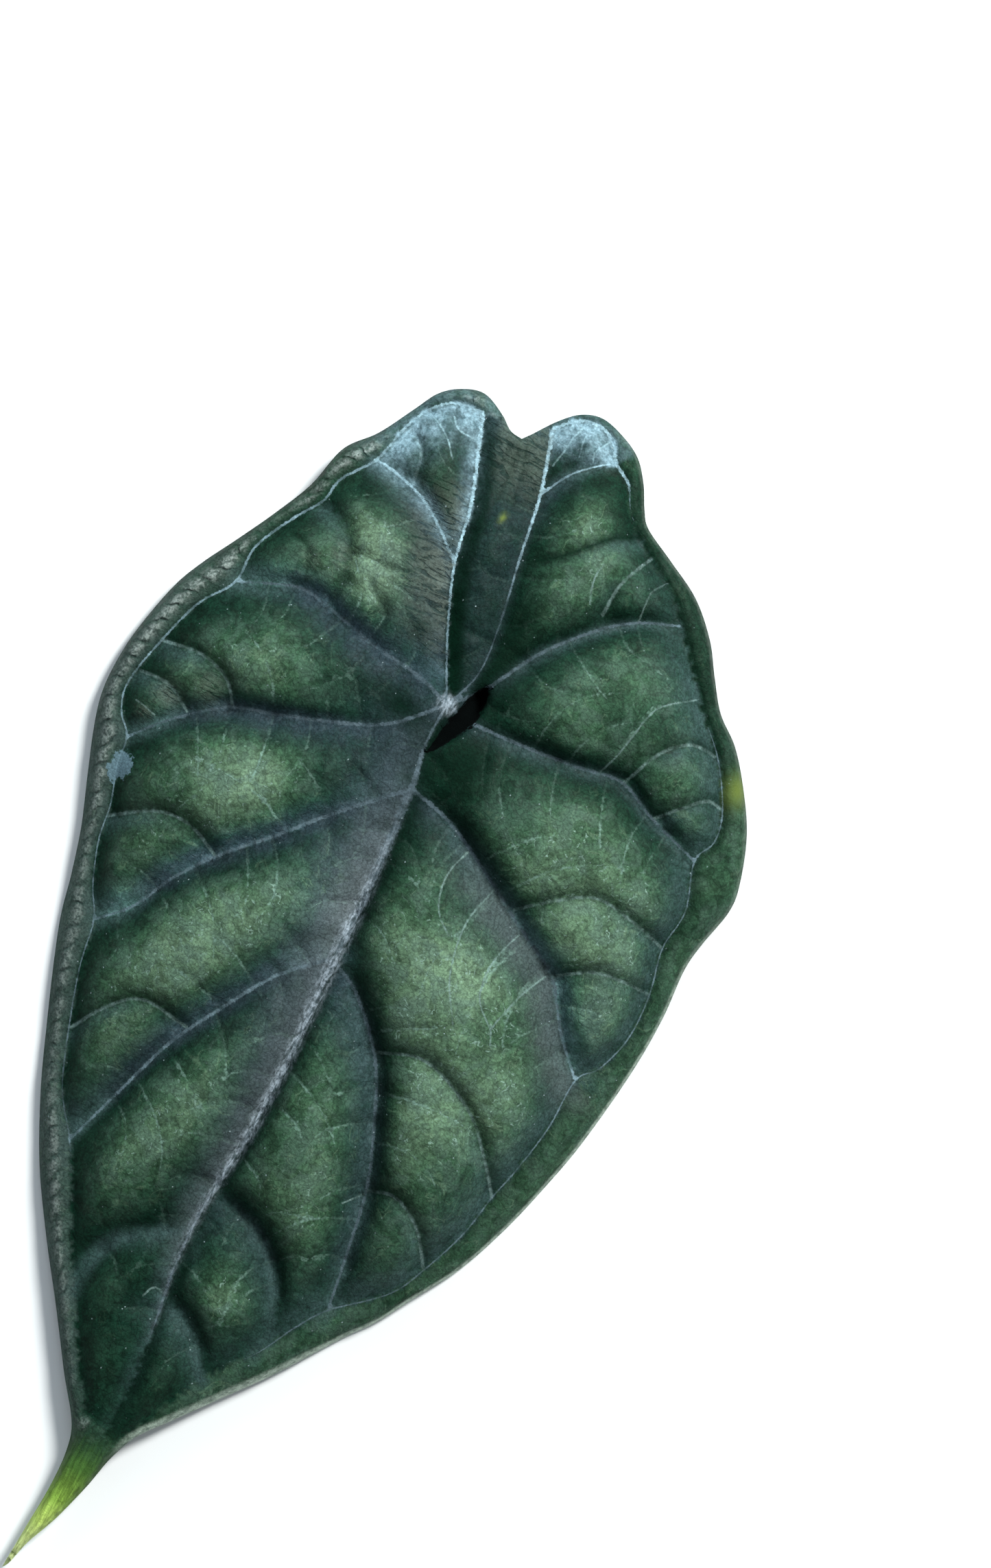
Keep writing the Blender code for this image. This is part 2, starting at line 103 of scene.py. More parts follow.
# Outline, from the notch between the lobes down each side to the drip tip
NOTCH = (-11.2, 51.2)
TIP = (0.2, -184.0)
LEFT_EDGE = [
    NOTCH, (-13.8, 51.6), (-17, 53.9), (-21.6, 55.7), (-26, 54.3), (-29.4, 51.4), (-32, 46.6),
    (-35.8, 39.8), (-40.4, 34), (-42.6, 25.2), (-46.3, 17), (-50.1, 9.8), (-53.9, 3), (-56.7, -3.4),
    (-58.8, -12), (-59.8, -19), (-59.8, -27), (-58.2, -34), (-54.6, -44), (-51.4, -52.5), (-49, -61),
    (-46.4, -71.5), (-39.6, -89.6), (-34.5, -101.8), (-28.6, -113.4), (-21.5, -124.3), (-13.8, -135),
    (-6.4, -145.7), (-1, -153), (0.8, -158.4), (1.2, -166), (0.7, -175), TIP]
RIGHT_EDGE = [
    NOTCH, (-9.8, 53), (-7, 57), (-3.6, 60.4), (0.4, 61.8), (5, 60.8), (9.8, 58.4), (13.2, 54.4),
    (15.6, 50.2), (18, 47.2), (24.7, 43.7), (32, 39.7), (38, 34), (42.1, 28.1), (46.3, 22.5),
    (51.6, 18.2), (56.6, 12), (61.3, 4.5), (64.4, -4.2), (65.1, -10), (63.4, -18), (62.7, -24),
    (63.3, -34), (62.8, -46), (60.8, -61.3), (58.6, -71.5), (55.4, -83), (51.2, -93.8),
    (45.7, -103.2), (41.9, -109.8), (37.4, -115.8), (29.1, -127.8), (22.5, -136.2), (15.8, -144.6),
    (11.4, -150.2), (9, -156), (7.4, -163), (5, -171), (2.4, -177.4), (1.1, -182.4), TIP]

# Veins, each from its root to its end. The border vein runs along inside the whole edge.
MIDRIB = [
    (-0.4, 0), (-0.5, -9), (1, -17.1), (2.3, -35), (3, -51.8), (3.8, -69), (4, -86.4), (2.6, -106),
    (3, -118), (4.6, -129), (5.9, -140), (6.1, -153), (3.9, -164), (2.2, -172), (0.6, -181)]
LEFT_BORDER = [
    (-20, 52.2), (-25.5, 51.4), (-29.6, 47.6), (-32, 42), (-33.7, 35), (-38, 28.6), (-39, 23.5),
    (-42.4, 18.2), (-46.4, 9.9), (-46.7, 2.2), (-51, -4.6), (-54, -14), (-56, -24), (-54.6, -29.4),
    (-51.4, -33.3), (-50.6, -39), (-48.3, -46), (-47.2, -53), (-44.3, -61), (-41, -66.9),
    (-39.6, -74.5), (-37.8, -81.1), (-34.1, -92), (-31, -99), (-25.8, -106), (-21.6, -113.3),
    (-17, -122.2), (-12, -130.7), (-6, -140.5), (0.4, -150.2)]
RIGHT_BORDER = [
    (-6.8, 55.6), (-3.4, 59.2), (0.8, 60.2), (4.6, 58.7), (6.8, 55.4), (10.8, 52.8), (14, 48),
    (21.1, 42.6), (28.4, 37.6), (32, 33.7), (37, 28.2), (43.3, 21), (49.6, 14.8), (55, 6.4),
    (56.4, 0.4), (54.7, -4.6), (57.6, -13.8), (57, -22), (58.9, -31), (59.2, -40), (57, -47.6),
    (53.9, -51.8), (53.6, -62), (51.9, -72), (50.2, -78.8), (48.6, -87.4), (45.1, -97), (41.4, -104),
    (32.5, -112.1), (28.4, -118), (24.3, -125.5), (17.7, -134), (12.6, -144.6), (8.6, -153)]
MAIN_VEINS = {
    "left_1": [(1, -17.1), (-8.8, -26.9), (-17.9, -37), (-25.9, -45.5), (-31.5, -53.3),
        (-35.5, -61.1), (-41, -66.9)],
    "left_2": [(3, -51.8), (-5.5, -60.3), (-12.8, -72.2), (-17.5, -81.1), (-21.5, -92.9),
        (-25.8, -106)],
    "left_3": [(2.6, -109.5), (-3.5, -112.9), (-8.9, -117.5), (-11.8, -124.2), (-12, -130.7)],
    "left_rear_1": [(-0.4, 0), (-7.9, -7.8), (-16.2, -12.1), (-27.4, -16.2), (-36.9, -19.5),
        (-45.7, -26.8), (-51.4, -33.3)],
    "left_rear_2": [(-0.4, 0), (-7.5, 2.3), (-17.3, 3.5), (-26.7, 5.6), (-34.4, 6.9), (-40.5, 5),
        (-46.7, 2.2)],
    "left_rear_3": [(-0.4, 0), (-3.6, 6), (-7.5, 14.2), (-11.4, 24.2), (-13.8, 35.6), (-17.7, 46.2),
        (-20, 52.2)],
    "left_rear_4": [(-11.4, 24.2), (-16.6, 28.6), (-22.5, 32.4), (-29, 34.4), (-33.7, 35)],
    "right_1": [(1, -17.1), (10.4, -19.4), (21.1, -25), (32.5, -31.6), (40.8, -36.3), (47.2, -44.9),
        (53.9, -51.8)],
    "right_2": [(3.2, -52.6), (10, -56.4), (18.6, -65.7), (23.8, -76.1), (28.2, -87.6), (30.6, -100),
        (32.5, -112.1)],
    "right_3": [(2.6, -102.6), (8.8, -102.2), (15.2, -105.2), (21, -111.1), (24.5, -118.8),
        (24.3, -125.5)],
    "right_4": [(4.6, -124.4), (8.6, -125.2), (13, -128.4), (17.7, -134)],
    "right_rear_1": [(-0.4, 0), (5.7, -0.9), (16.7, -0.2), (27.3, 1), (35.6, 2.3), (44, -1.2),
        (54.7, -4.6)],
    "right_rear_2": [(-0.4, 0), (4.5, 5.6), (10.7, 16.6), (17.7, 25), (24, 30.2), (32, 33.7)],
    "right_rear_3": [(-0.4, 0), (2.2, 8), (1.4, 18.1), (-1, 30.9), (-3.1, 43.2), (-6.8, 55.6)],
    "right_rear_4": [(-3.1, 43.2), (-0.4, 48.6), (3, 52.4), (6.8, 55.4)],
}

# Lesser veins, which bound the overlapping scales between the main ones
SCALE_VEINS = [
    [(28.7, -28.4), (33.8, -24), (41.1, -19.4), (49, -20), (57, -22)],
    [(40.8, -36.3), (47.2, -32.1), (53, -31), (58.9, -31)],
    [(17.9, -64.2), (27, -61.3), (38.4, -65.8), (45.4, -72.7), (50.2, -78.8)],
    [(28.4, -88.4), (33.7, -86.9), (40, -90.2), (45.1, -97)],
    [(-35.6, -87.4), (-31.3, -80.5), (-25.7, -75.8), (-15.9, -76.6)],
    [(-48, -48.4), (-40, -43.2), (-33, -42.4), (-25.9, -45.5)],
    [(-54, -14), (-45.9, -12.9), (-39.6, -14.8), (-36, -19.1)],
    [(-55.5, -21), (-48.8, -20.8), (-43.4, -23.8)],
    [(36, 2.3), (39.3, 10.2), (44, 14.6), (49.6, 14.8)],
    [(44, -1.2), (47.8, 3), (51.6, 6.6), (55, 6.4)],
    [(17.8, 28.6), (18.2, 35.3), (21.1, 42.6)],
    [(-31.6, 43), (-27, 40.4), (-25.3, 33.6)],
]

# Finer lines drawn only here: the branches of the lesser veins, and the folds at the notch
FINE_VEINS = [
    [(23.6, -26.6), (21.8, -35), (23.6, -44.7), (28.3, -52.7)],
    [(16, -22.6), (14.6, -27), (14.7, -31), (16.3, -35.2), (19.9, -38.3)],
    [(31.7, -32.2), (30.2, -36.3), (29.6, -39.9), (29.8, -43.5), (31.1, -46.9), (35.1, -50.4)],
    [(39.7, -36.9), (37.6, -41.3), (36.1, -46), (35.3, -50), (36.4, -53)],
    [(28.3, -89.3), (25.5, -92.5)],
    [(3.8, -123.4), (1.3, -123.1), (0.2, -125.5)],
    [(-53, -26.3), (-50.8, -26.6), (-48.6, -27.2)],
    [(31, 1.9), (32.4, 6.1), (33.4, 10.9), (34.1, 14.9), (35.8, 18.5), (41.6, 23.1)],
    [(14.7, 29.3), (13.8, 31.6), (13.2, 34.8), (13.7, 37.2)],
    [(24.4, 30.8), (24.1, 34.1), (24.1, 36.9), (26.1, 39.8)],
    [(-29, 47.7), (-26.3, 46.5), (-23.5, 44.6), (-21, 41.7)],
    [(-31.3, 43.9), (-28, 41.6), (-26.2, 39), (-25.3, 34.4)],
    [(-24.4, 49), (-22.4, 47.2), (-18.3, 47)],
    [(-1.4, 59.4), (-2.5, 56.3), (-2.9, 53.2), (-3.6, 49.4)],
    [(0.3, 59.8), (-0.6, 56.9), (0.1, 53)],
    [(4.1, 58.7), (2.9, 56.6), (2.3, 55.2), (3.1, 52.9)],
]

# Creases that split a pillow in two, and shallow folds in the left rear lobe and at the notch
CREASES = [
    [(-38.2, 23.3), (-34.4, 22), (-31.8, 20.2), (-29.9, 16.9), (-28.3, 11.9), (-28.8, 7.2)],
    [(2, 31.8), (5.8, 34.8), (9.9, 39.1), (12.8, 42.3), (17.6, 45.2)],
]
FOLDS = [
    [(-41, 15), (-38.6, 14.9), (-36.9, 13.3), (-34.7, 8.5)],
    [(-29.6, 16.8), (-28.1, 17.8), (-24.9, 17.9), (-21.7, 17.9), (-17.8, 19.2)],
    [(-23.6, 14), (-21.8, 12.6), (-19.2, 10.7), (-17.4, 8.4)],
    [(-13.6, 37.6), (-12.9, 44), (-12, 50)],
    [(-10, 34), (-10, 42), (-10.8, 49.6)],
    [(-6.9, 39), (-8, 45), (-9.8, 50.6)],
]

# How dark the painted shade is at each crease at most, and at each fold and scale vein
CREASE_SHADES = (0.35, 0.85)
FOLD_SHADE = 0.50
SCALE_SHADE = 0.55

# How far each rib stands out below the blade at its root, and how wide it is
MIDRIB_DEPTH = 2.6
SIDE_RIB_DEPTH = 1.5
BORDER_RIB_DEPTH = 0.5
RIB_WIDTH = 1.6

# The midrib keeps at least this share of its depth, and a side rib loses this one by its end
LEAST_MIDRIB = 0.12
SIDE_RIB_LOSS = 0.7

# Stalk, from the middle of the knob under the blade to its cut end. Heights follow the knob.
STALK_PATH = [
    (-0.4, 0), (-0.5, 0.9), (-1, 3.6), (-2.2, 9), (-4, 17), (-6.4, 29), (-8.8, 43)]
STALK_DROPS = [0.0, 0.30, 0.66, 0.93, 1.0, 1.0, 1.0]
STALK_SWELLS = [1.25, 1.08, 1.0, 0.98, 1.0, 1.06, 1.14]

# The blade rests on the lowest point of each side, which lies further out than this
SIDE_START = 20.0

# Fine surface
PACKED_STEP = 2.8
MESH_STEP = 0.76
FINE_STEP = 0.25
SEED = 7

# Points of the veins that lie closer than this share of a step become one, and the points that
# fill the panels keep at least this share of it from every other point
WELD_SHARE = 0.45
FILL_SHARE = 0.66

# Veinlets leave each main vein square on and bend towards its end. Pleats are their short kin.
# Each has a spacing along the vein, a least and greatest length, and a least and greatest bend.
VEINLETS = (8.5, (10.0, 30.0), (0.3, 1.0))
PLEATS = (4.1, (2.5, 8.0), (0.2, 0.9))
VEINLET_WIDTH = 1.7
VEINLET_DEPTH = 0.95
PLEAT_DEPTH = 0.35
FOLD_DEPTH = 1.1
FOLD_WIDTH = 1.1

# Steps of the golden share give neighbouring veinlets unlike depths
GOLDEN = 0.618034

# A veinlet's shape: shares of its reach outwards, and of its bend along the vein
VEINLET_SHAPE = [(0, 0), (0.35, 0.10), (0.64, 0.34), (0.84, 0.66), (0.95, 1.0)]

# Veinlets stop short of a vein's end and are unevenly spaced, by this share. Each measures its
# room from a probe beside its root, uses some share of it, and isn't grown where there is little.
END_ROOM = 3.0
UNEVEN = 0.35
PROBE_GAP = 4.0
ROOM_SHARES = (0.7, 1.7)
LEAST_ROOM = 2.5

# Their wiggle, in full once they reach this far
WIGGLE = 0.5
WIGGLE_REACH = 8.0

# Cords raised along the veins, as height and half width, and puckers, as height and size
MIDRIB_RISE = (0.30, 0.8)
SIDE_RISE = (0.16, 0.5)
PUCKERS = [(0.07, 2.2), (0.20, 6.0)]

# How far from each kind of line a point still feels it
SIDE_SIGHT = 45.0
SCALE_SIGHT = 20.0
FINE_SIGHT = 9.0

# Panels that are paler or darker than the rest: place, half widths, and change in their green
TONES = [
    (16.5, -33.7, 13, 13, -0.40), (12, -88, 9, 22, -0.35), (44, -82, 10, 12, -0.50),
    (26, 16, 24, 13, -0.35), (18, -9, 12, 8, -0.40), (22, -42, 8, 8, 0.50), (38, -98, 10, 10, -0.50),
    (-25, 22, 9, 10, 0.55), (-24, -2, 14, 7, -0.40), (-25, -25, 10, 7, 0.40), (-40, -39, 8, 8, -0.30),
    (0, -130, 9, 9, -0.45), (15.5, -117, 8, 9, 0.50), (-16, -55, 14, 14, 0.15), (8, 45, 7, 7, 0.75),
    (40, 14, 13, 14, -0.40), (38, -54, 13, 8, -0.22), (40, -15, 9, 9, -0.15), (-19, 21, 7, 9, 0.55),
    (-23, 11, 5, 4, 0.35), (-33, 27, 5, 6, 0.45), (-25, 38, 4, 4, 0.60)]

# How dark the painted shade on the steep flank beside each vein is, at its root and at its end
SHADES = {"left_1": (0.30, 0.0), "left_2": (0.10, 0.0), "left_3": (0.30, 0.20),
          "left_rear_1": (0.65, 0.30), "left_rear_2": (0.40, 0.10), "left_rear_3": (0.0, 0.0),
          "left_rear_4": (0.80, 0.45), "right_1": (0.85, 0.0), "right_2": (0.60, 0.40),
          "right_3": (0.35, 0.30), "right_4": (0.35, 0.30), "right_rear_1": (0.90, 0.35),
          "right_rear_2": (0.95, 0.50), "right_rear_3": (1.0, 0.70), "right_rear_4": (0.5, 0.3)}

# How far slate reaches up that flank, at the root and at the end of the veins where it shows
STEEP_SLATE = {"left_1": (2.0, 4.4), "left_2": (3.2, 4.4), "left_rear_1": (1.1, 2.2),
               "left_rear_2": (2.6, 3.2), "right_1": (0.6, 4.0), "right_2": (1.1, 2.0)}
USUAL_STEEP_SLATE = (1.1, 0.6)
LOOP_SLATE = 0.6

# Painted light: how much paler that flank is made, at the root and at the end of the veins where
# light reaches it
STEEP_PAINTED_LIGHT = {"left_1": (0.4, 3.6), "left_2": (0.9, 3.0), "left_rear_1": (0.3, 1.2),
              "left_rear_2": (1.0, 1.6), "right_1": (-0.5, 2.4), "right_rear_1": (0.4, 0.9)}

# Hollows that the light hardly reaches: place, half widths and how dark
HOLLOWS = [
    (-0.5, -11.5, 2.5, 5, 0.45), (-12, 11, 4, 4, 0.35), (4.5, 7, 6, 12, 0.90), (8, -9, 7, 9, 0.80),
    (-7.5, -4.2, 7, 3.8, 0.95), (5, 19, 3.5, 9, 0.90), (0.9, 45.5, 2.4, 4.5, 0.90),
    (-17.5, 28.5, 3, 5, 0.35), (-5, -112.3, 1.8, 0.9, 0.95), (5.1, -117.4, 0.8, 1.7, 0.95)]

# Soft places, each with half widths: slate at the right border, a flank with painted light, and paler
# slate that adds painted sheen
SLATE_SPOT = (51.5, -39.5, 6.5, 7.5)
LIT_FLANK = (-4.0, -44.0, 7, 9)
PALE_FLANK = (-1.0, -42.0, 6, 8)

# The grey-blue patch at the left margin, and the yellow spots: place and half widths
PATCH = (-50.0, -38.6, 2.1, 3.2)
MARGIN_WILT = (56.0, 11.2, 2.6, 3.2)
CHANNEL_WILT = (-7.4, 36.1, 0.5, 0.9)

# The right lobe's bloom, partly painted sky sheen, lies on this side of the vein that ends there
BLOOM_AND_SHEEN_WAY = np.array((-0.77, 0.63))

# Beads of the left margin: how long, and how much their joints lean
BEAD_LENGTH = 4.4
BEAD_LEAN = 0.7

# Ends of scales at the left border that catch the light, where the crinkle's pale colour is painted
# light: place, size and how strongly
LIT_ENDS = [
    (-47.9, -22.8, 2.6, 0.9), (-41.5, -18.2, 3.1, 0.7), (-50.4, -27.4, 1.5, 0.9), (-31, 16, 2.6, 0.5),
    (-35.6, 12.6, 2.2, 0.5), (-16.6, 35.4, 3, 0.6)]

# Veins that show pale and blue: where along the leaf that starts and is full, and how strongly
PALE_VEINS = {"left_rear_3": (-6, 30, 0.95), "left_rear_4": (20, 30, 0.85),
              "right_rear_3": (16, 50, 0.85), "right_rear_4": (40, 52, 0.45),
              "right_1": (-36, -48, 0.40), "left_2": (-50, -62, 0.20), "left_1": (-17, -34, 0.15)}

# Half the width of the cord that shows along each kind of vein. Pairs are at its root and end.
MIDRIB_CORD = 0.90
BORDER_CORD = 0.22
USUAL_CORD = (0.396, 0.252)
REAR_CORDS = {"left_rear_3": (0.22, 0.50), "left_rear_4": (0.30, 0.30),
              "right_rear_3": (0.16, 0.46), "right_rear_4": (0.22, 0.18)}
SCALE_CORD = 0.34
FINE_CORD = 0.19

# The veins that loop round at the tip, which show as soft teal bands
LOOPS = ("left_3", "right_3", "right_4")

# The photograph's frame: a leaf-long picture whose up direction leans from the midrib
PICTURE_HEIGHT = 2286
MM_PER_PIXEL = 0.1303
PICTURE_CENTRE = (14.6, -9.0)
PICTURE_LEAN = math.radians(27.53)
CAMERA_HEIGHT = 1.6

# The soft room: how bright it is low down and overhead, and between which heights that changes
ROOM_COLOUR = (0.86, 0.94, 1.0, 1)
ROOM_STRENGTHS = (0.75, 0.20)
ROOM_HEIGHTS = (0.1, 0.9)
FLOOR_SIZE = 6

# Lamps: place to the right, up and above in the picture's frame, size, power and colour
LAMPS = [("key", 1.60, 1.52, 1.84, 0.8, 118, (0.98, 1.0, 0.98)),
         ("sky", -0.20, 2.50, 1.00, 1.6, 28, (0.76, 0.90, 1.0))]


def smooth_line(points, step):
    """Evenly spaced points, about a step apart, on a smooth curve through the given ones."""
    knots = np.array(points, float)
    ends = (2 * knots[:1] - knots[1:2], knots, 2 * knots[-1:] - knots[-2:-1])
    held = np.concatenate(ends)
    dense = []
    for before, start, end, after in zip(held, held[1:], held[2:], held[3:]):
        count = max(2, int(np.linalg.norm(end - start) / FINE_STEP))
        t = np.arange(count)[:, None] / count
        leave, arrive = (end - before) / 2, (after - start) / 2
        dense.append((2 * t**3 - 3 * t**2 + 1) * start + (t**3 - 2 * t**2 + t) * leave
                     + (3 * t**2 - 2 * t**3) * end + (t**3 - t**2) * arrive)
    dense = np.concatenate(dense + [knots[-1:]])
    run = np.concatenate([[0], np.cumsum(np.linalg.norm(np.diff(dense, axis=0), axis=1))])
    places = np.linspace(0, run[-1], max(2, round(run[-1] / step) + 1))
    return np.stack([np.interp(places, run, axis) for axis in dense.T], axis=1)


class Nearness:
    """Where each point lies from a line: its gap, the unit way to it, and its share along."""

    def __init__(self, points, line, reach=None):
        self.gap = np.full(len(points), np.inf if reach is None else float(reach))
        self.way = np.zeros((len(points), 2))
        self.share = np.zeros(len(points))
        near = np.arange(len(points))
        if reach is not None:
            low, high = line.min(axis=0) - reach, line.max(axis=0) + reach
            near = np.flatnonzero(((points > low) & (points < high)).all(axis=1))
        places, gap = points[near], self.gap[near]
        way, share = self.way[near], self.share[near]
        for index, (start, end) in enumerate(zip(line[:-1], line[1:])):
            along = end - start
            part = np.clip((places - start) @ along / (along @ along), 0, 1)
            away = places - start - part[:, None] * along
            distance = np.hypot(*away.T)
            closer = distance < gap
            gap[closer], way[closer] = distance[closer], away[closer]
            share[closer] = (index + part[closer]) / (len(line) - 1)
        self.gap[near], self.share[near] = gap, share
        self.way[near] = way / (np.hypot(*way.T)[:, None] + TINY)

    def side(self, steep_way=STEEP_WAY):
        """How far each point lies to the steep side of the line, from -1 to 1."""
        return self.way @ steep_way


def across_line(line):
    """The sideways direction at each point of a line."""
    along = np.gradient(line, axis=0)
    along /= np.linalg.norm(along, axis=1, keepdims=True)
    return np.stack([-along[:, 1], along[:, 0]], axis=1)


def is_inside(points, loop):
    """Whether each point lies inside a closed loop in plan."""
    x, y = points.T
    crossings = np.zeros(len(points), int)
    for (ax, ay), (bx, by) in zip(loop, np.roll(loop, -1, axis=0)):
        spans = (ay > y) != (by > y)
        if ay != by:
            crossings += spans & (x < ax + (y - ay) * (bx - ax) / (by - ay))
    return crossings % 2 == 1


def height_along(y, profile):
    """A height read from a smooth profile at each place along the leaf."""
    curve = smooth_line(sorted(profile), 1.0)
    return np.interp(y, curve[:, 0], curve[:, 1])


def flank(near, reach, steep_way=STEEP_WAY):
    """How far the lamina has risen beside a vein, from 0 to 1, sooner on the steep side."""
    eased = np.sqrt(near.gap**2 + VEIN_ROUNDING**2) - VEIN_ROUNDING
    return 1 - np.exp(-eased / (reach * (1 - LEAN * near.side(steep_way))))


def ramp(low, high, value):
    """Rises smoothly from 0 at the low value to 1 at the high one, or falls if low is greater."""
    t = np.clip((value - low) / (high - low), 0, 1)
    return t * t * (3 - 2 * t)


def bell(distance, width):
    """One where the distance is zero, falling away over this width."""
    return np.exp(-(distance / width)**2)


def spot(field, x, y, across, along):
    """A soft patch from 0 to 1 with its middle here and these half widths."""
    return np.exp(-np.hypot((field.x - x) / across, (field.y - y) / along)**2)


def blend(ends, share):
    """Part of the way from a first value to a last one."""
    first, last = ends
    return first + (last - first) * share


def clouds(points, size, seed):
    """Smooth noise from -1 to 1 whose blobs are about this many millimetres across."""
    lift = Vector((0, 0, seed * 17.3))
    return np.array([noise.noise(Vector((x / size, y / size, 0)) + lift) for x, y in points])


class Layout:
    """The leaf's lines in plan, with their points a step apart."""

    def __init__(self, step):
        left, right = smooth_line(LEFT_EDGE, step), smooth_line(RIGHT_EDGE, step)
        self.edge = np.concatenate([left, right[-2:0:-1]])
        self.midrib = smooth_line(MIDRIB, step)
        self.sides = {name: smooth_line(line, step) for name, line in MAIN_VEINS.items()}
        kinds = (LEFT_BORDER, RIGHT_BORDER), SCALE_VEINS, FINE_VEINS, CREASES, FOLDS
        self.borders, self.scales, self.fine, self.creases, self.folds = (
            [smooth_line(line, step) for line in lines] for lines in kinds)
        self.field = np.concatenate([self.borders[0], self.borders[1][::-1]])
        self.channel = np.concatenate([self.sides["left_rear_3"],
                                       self.sides["right_rear_3"][::-1]])


def grow_veinlets(layout, step, spacing, reaches, leans):
    """Fine veins that leave each main one square on, then bend towards its end."""
    rng = np.random.default_rng(SEED)
    lines = [layout.midrib, *layout.sides.values()]
    grown = []
    for line in lines:
        others = [other for other in lines + layout.borders if other is not line]
        away = across_line(line)
        along = np.stack([away[:, 1], -away[:, 0]], axis=1)
        places = np.arange(spacing, (len(line) - 1) * step - END_ROOM, spacing)
        for way in (-1, 1):
            for place in places + spacing * rng.uniform(-UNEVEN, UNEVEN, len(places)):
                at = int(np.clip(place / step, 1, len(line) - 2))
                root, out, on = line[at], way * away[at], along[at]
                probe = (root + out * PROBE_GAP)[None]
                free = min(Nearness(probe, other).gap[0] for other in others)
                reach = np.clip(free * rng.uniform(*ROOM_SHARES), *reaches)
                bend = rng.uniform(*leans)
                jitter = rng.uniform(-WIGGLE, WIGGLE, (len(VEINLET_SHAPE), 2))
                jitter *= min(1, reach / WIGGLE_REACH)
                if free > LEAST_ROOM and is_inside(probe, layout.field)[0]:
                    knots = [root + reach * (u * out + v * bend * on) for u, v in VEINLET_SHAPE]
                    grown.append(smooth_line(np.array(knots) + jitter, step))
    return [line for line in grown if is_inside(line[-1:], layout.field)[0]]


def pleated(points, lines):
    """Each point's gap from the nearest of many short lines, and the step there from 0 to 1."""
    least, step = np.full(len(points), FAR), np.zeros(len(points))
    for index, line in enumerate(lines):
        low, high = line.min(axis=0) - 5, line.max(axis=0) + 5
        at = np.flatnonzero(((points > low) & (points < high)).all(axis=1))
        near = Nearness(points[at], line)
        width = VEINLET_WIDTH * (1 - 0.4 * LEAN * near.side())
        fade = (index * GOLDEN % 1) * (1 - ramp(0.35, 1.0, near.share))
        step[at] = np.maximum(step[at], fade * np.exp(-near.gap / width))
        least[at] = np.minimum(least[at], near.gap + 0.5 * near.share**2)
    return least, step


class Sieve:
    """Points in plan, found again by place."""

    def __init__(self, cell):
        self.cell = cell
        self.bins = {}
        self.points = []

    def near(self, place, gap):
        """The index of the nearest point within this gap, or None."""
        column, row = int(place[0] // self.cell), int(place[1] // self.cell)
        best, least = None, gap
        for i in (column - 1, column, column + 1):
            for j in (row - 1, row, row + 1):
                for index in self.bins.get((i, j), ()):
                    held = self.points[index]
                    away = math.hypot(held[0] - place[0], held[1] - place[1])
                    if away < least:
                        best, least = index, away
        return best

    def add(self, place):
        key = (int(place[0] // self.cell), int(place[1] // self.cell))
        self.bins.setdefault(key, []).append(len(self.points))
        self.points.append((float(place[0]), float(place[1])))
        return len(self.points) - 1


def plan_mesh(layout, veinlets, step):
    """Points and triangles that fill the outline, with edges along every vein."""
    sieve, links = Sieve(step), []

    def add_line(line, closed=False):
        indices = []
        for place in line:
            near = None if closed else sieve.near(place, WELD_SHARE * step)
            indices.append(sieve.add(place) if near is None else near)
        pairs = list(zip(indices, indices[1:]))
        if closed:
            pairs.append((indices[-1], indices[0]))
        links.extend(pair for pair in pairs if pair[0] != pair[1])

    add_line(layout.edge, closed=True)
    main = [layout.midrib, *layout.borders, *layout.sides.values()]
    lesser = layout.scales + layout.creases + layout.fine + layout.folds
    lesser += veinlets[0] + veinlets[1]
    for line in main + lesser:
        add_line(line)

    beside = [line + way * step * across_line(line) for line in main for way in (-1, 1)]
    low, high = layout.edge.min(axis=0), layout.edge.max(axis=0)
    rows = np.arange(low[1], high[1], step * np.sqrt(0.75))
    columns = np.arange(low[0], high[0], step)
    grid = np.array([(x + step / 2 * (row % 2), y) for row, y in enumerate(rows) for x in columns])
    for fill in [*beside, grid]:
        for place in fill[is_inside(fill, layout.edge)]:
            if sieve.near(place, FILL_SHARE * step) is None:
                sieve.add(place)
    made = delaunay_2d_cdt([Vector(p) for p in sieve.points], links, [], 1, 1e-4)
    return np.array([v[:] for v in made[0]]), [tuple(face) for face in made[2]]


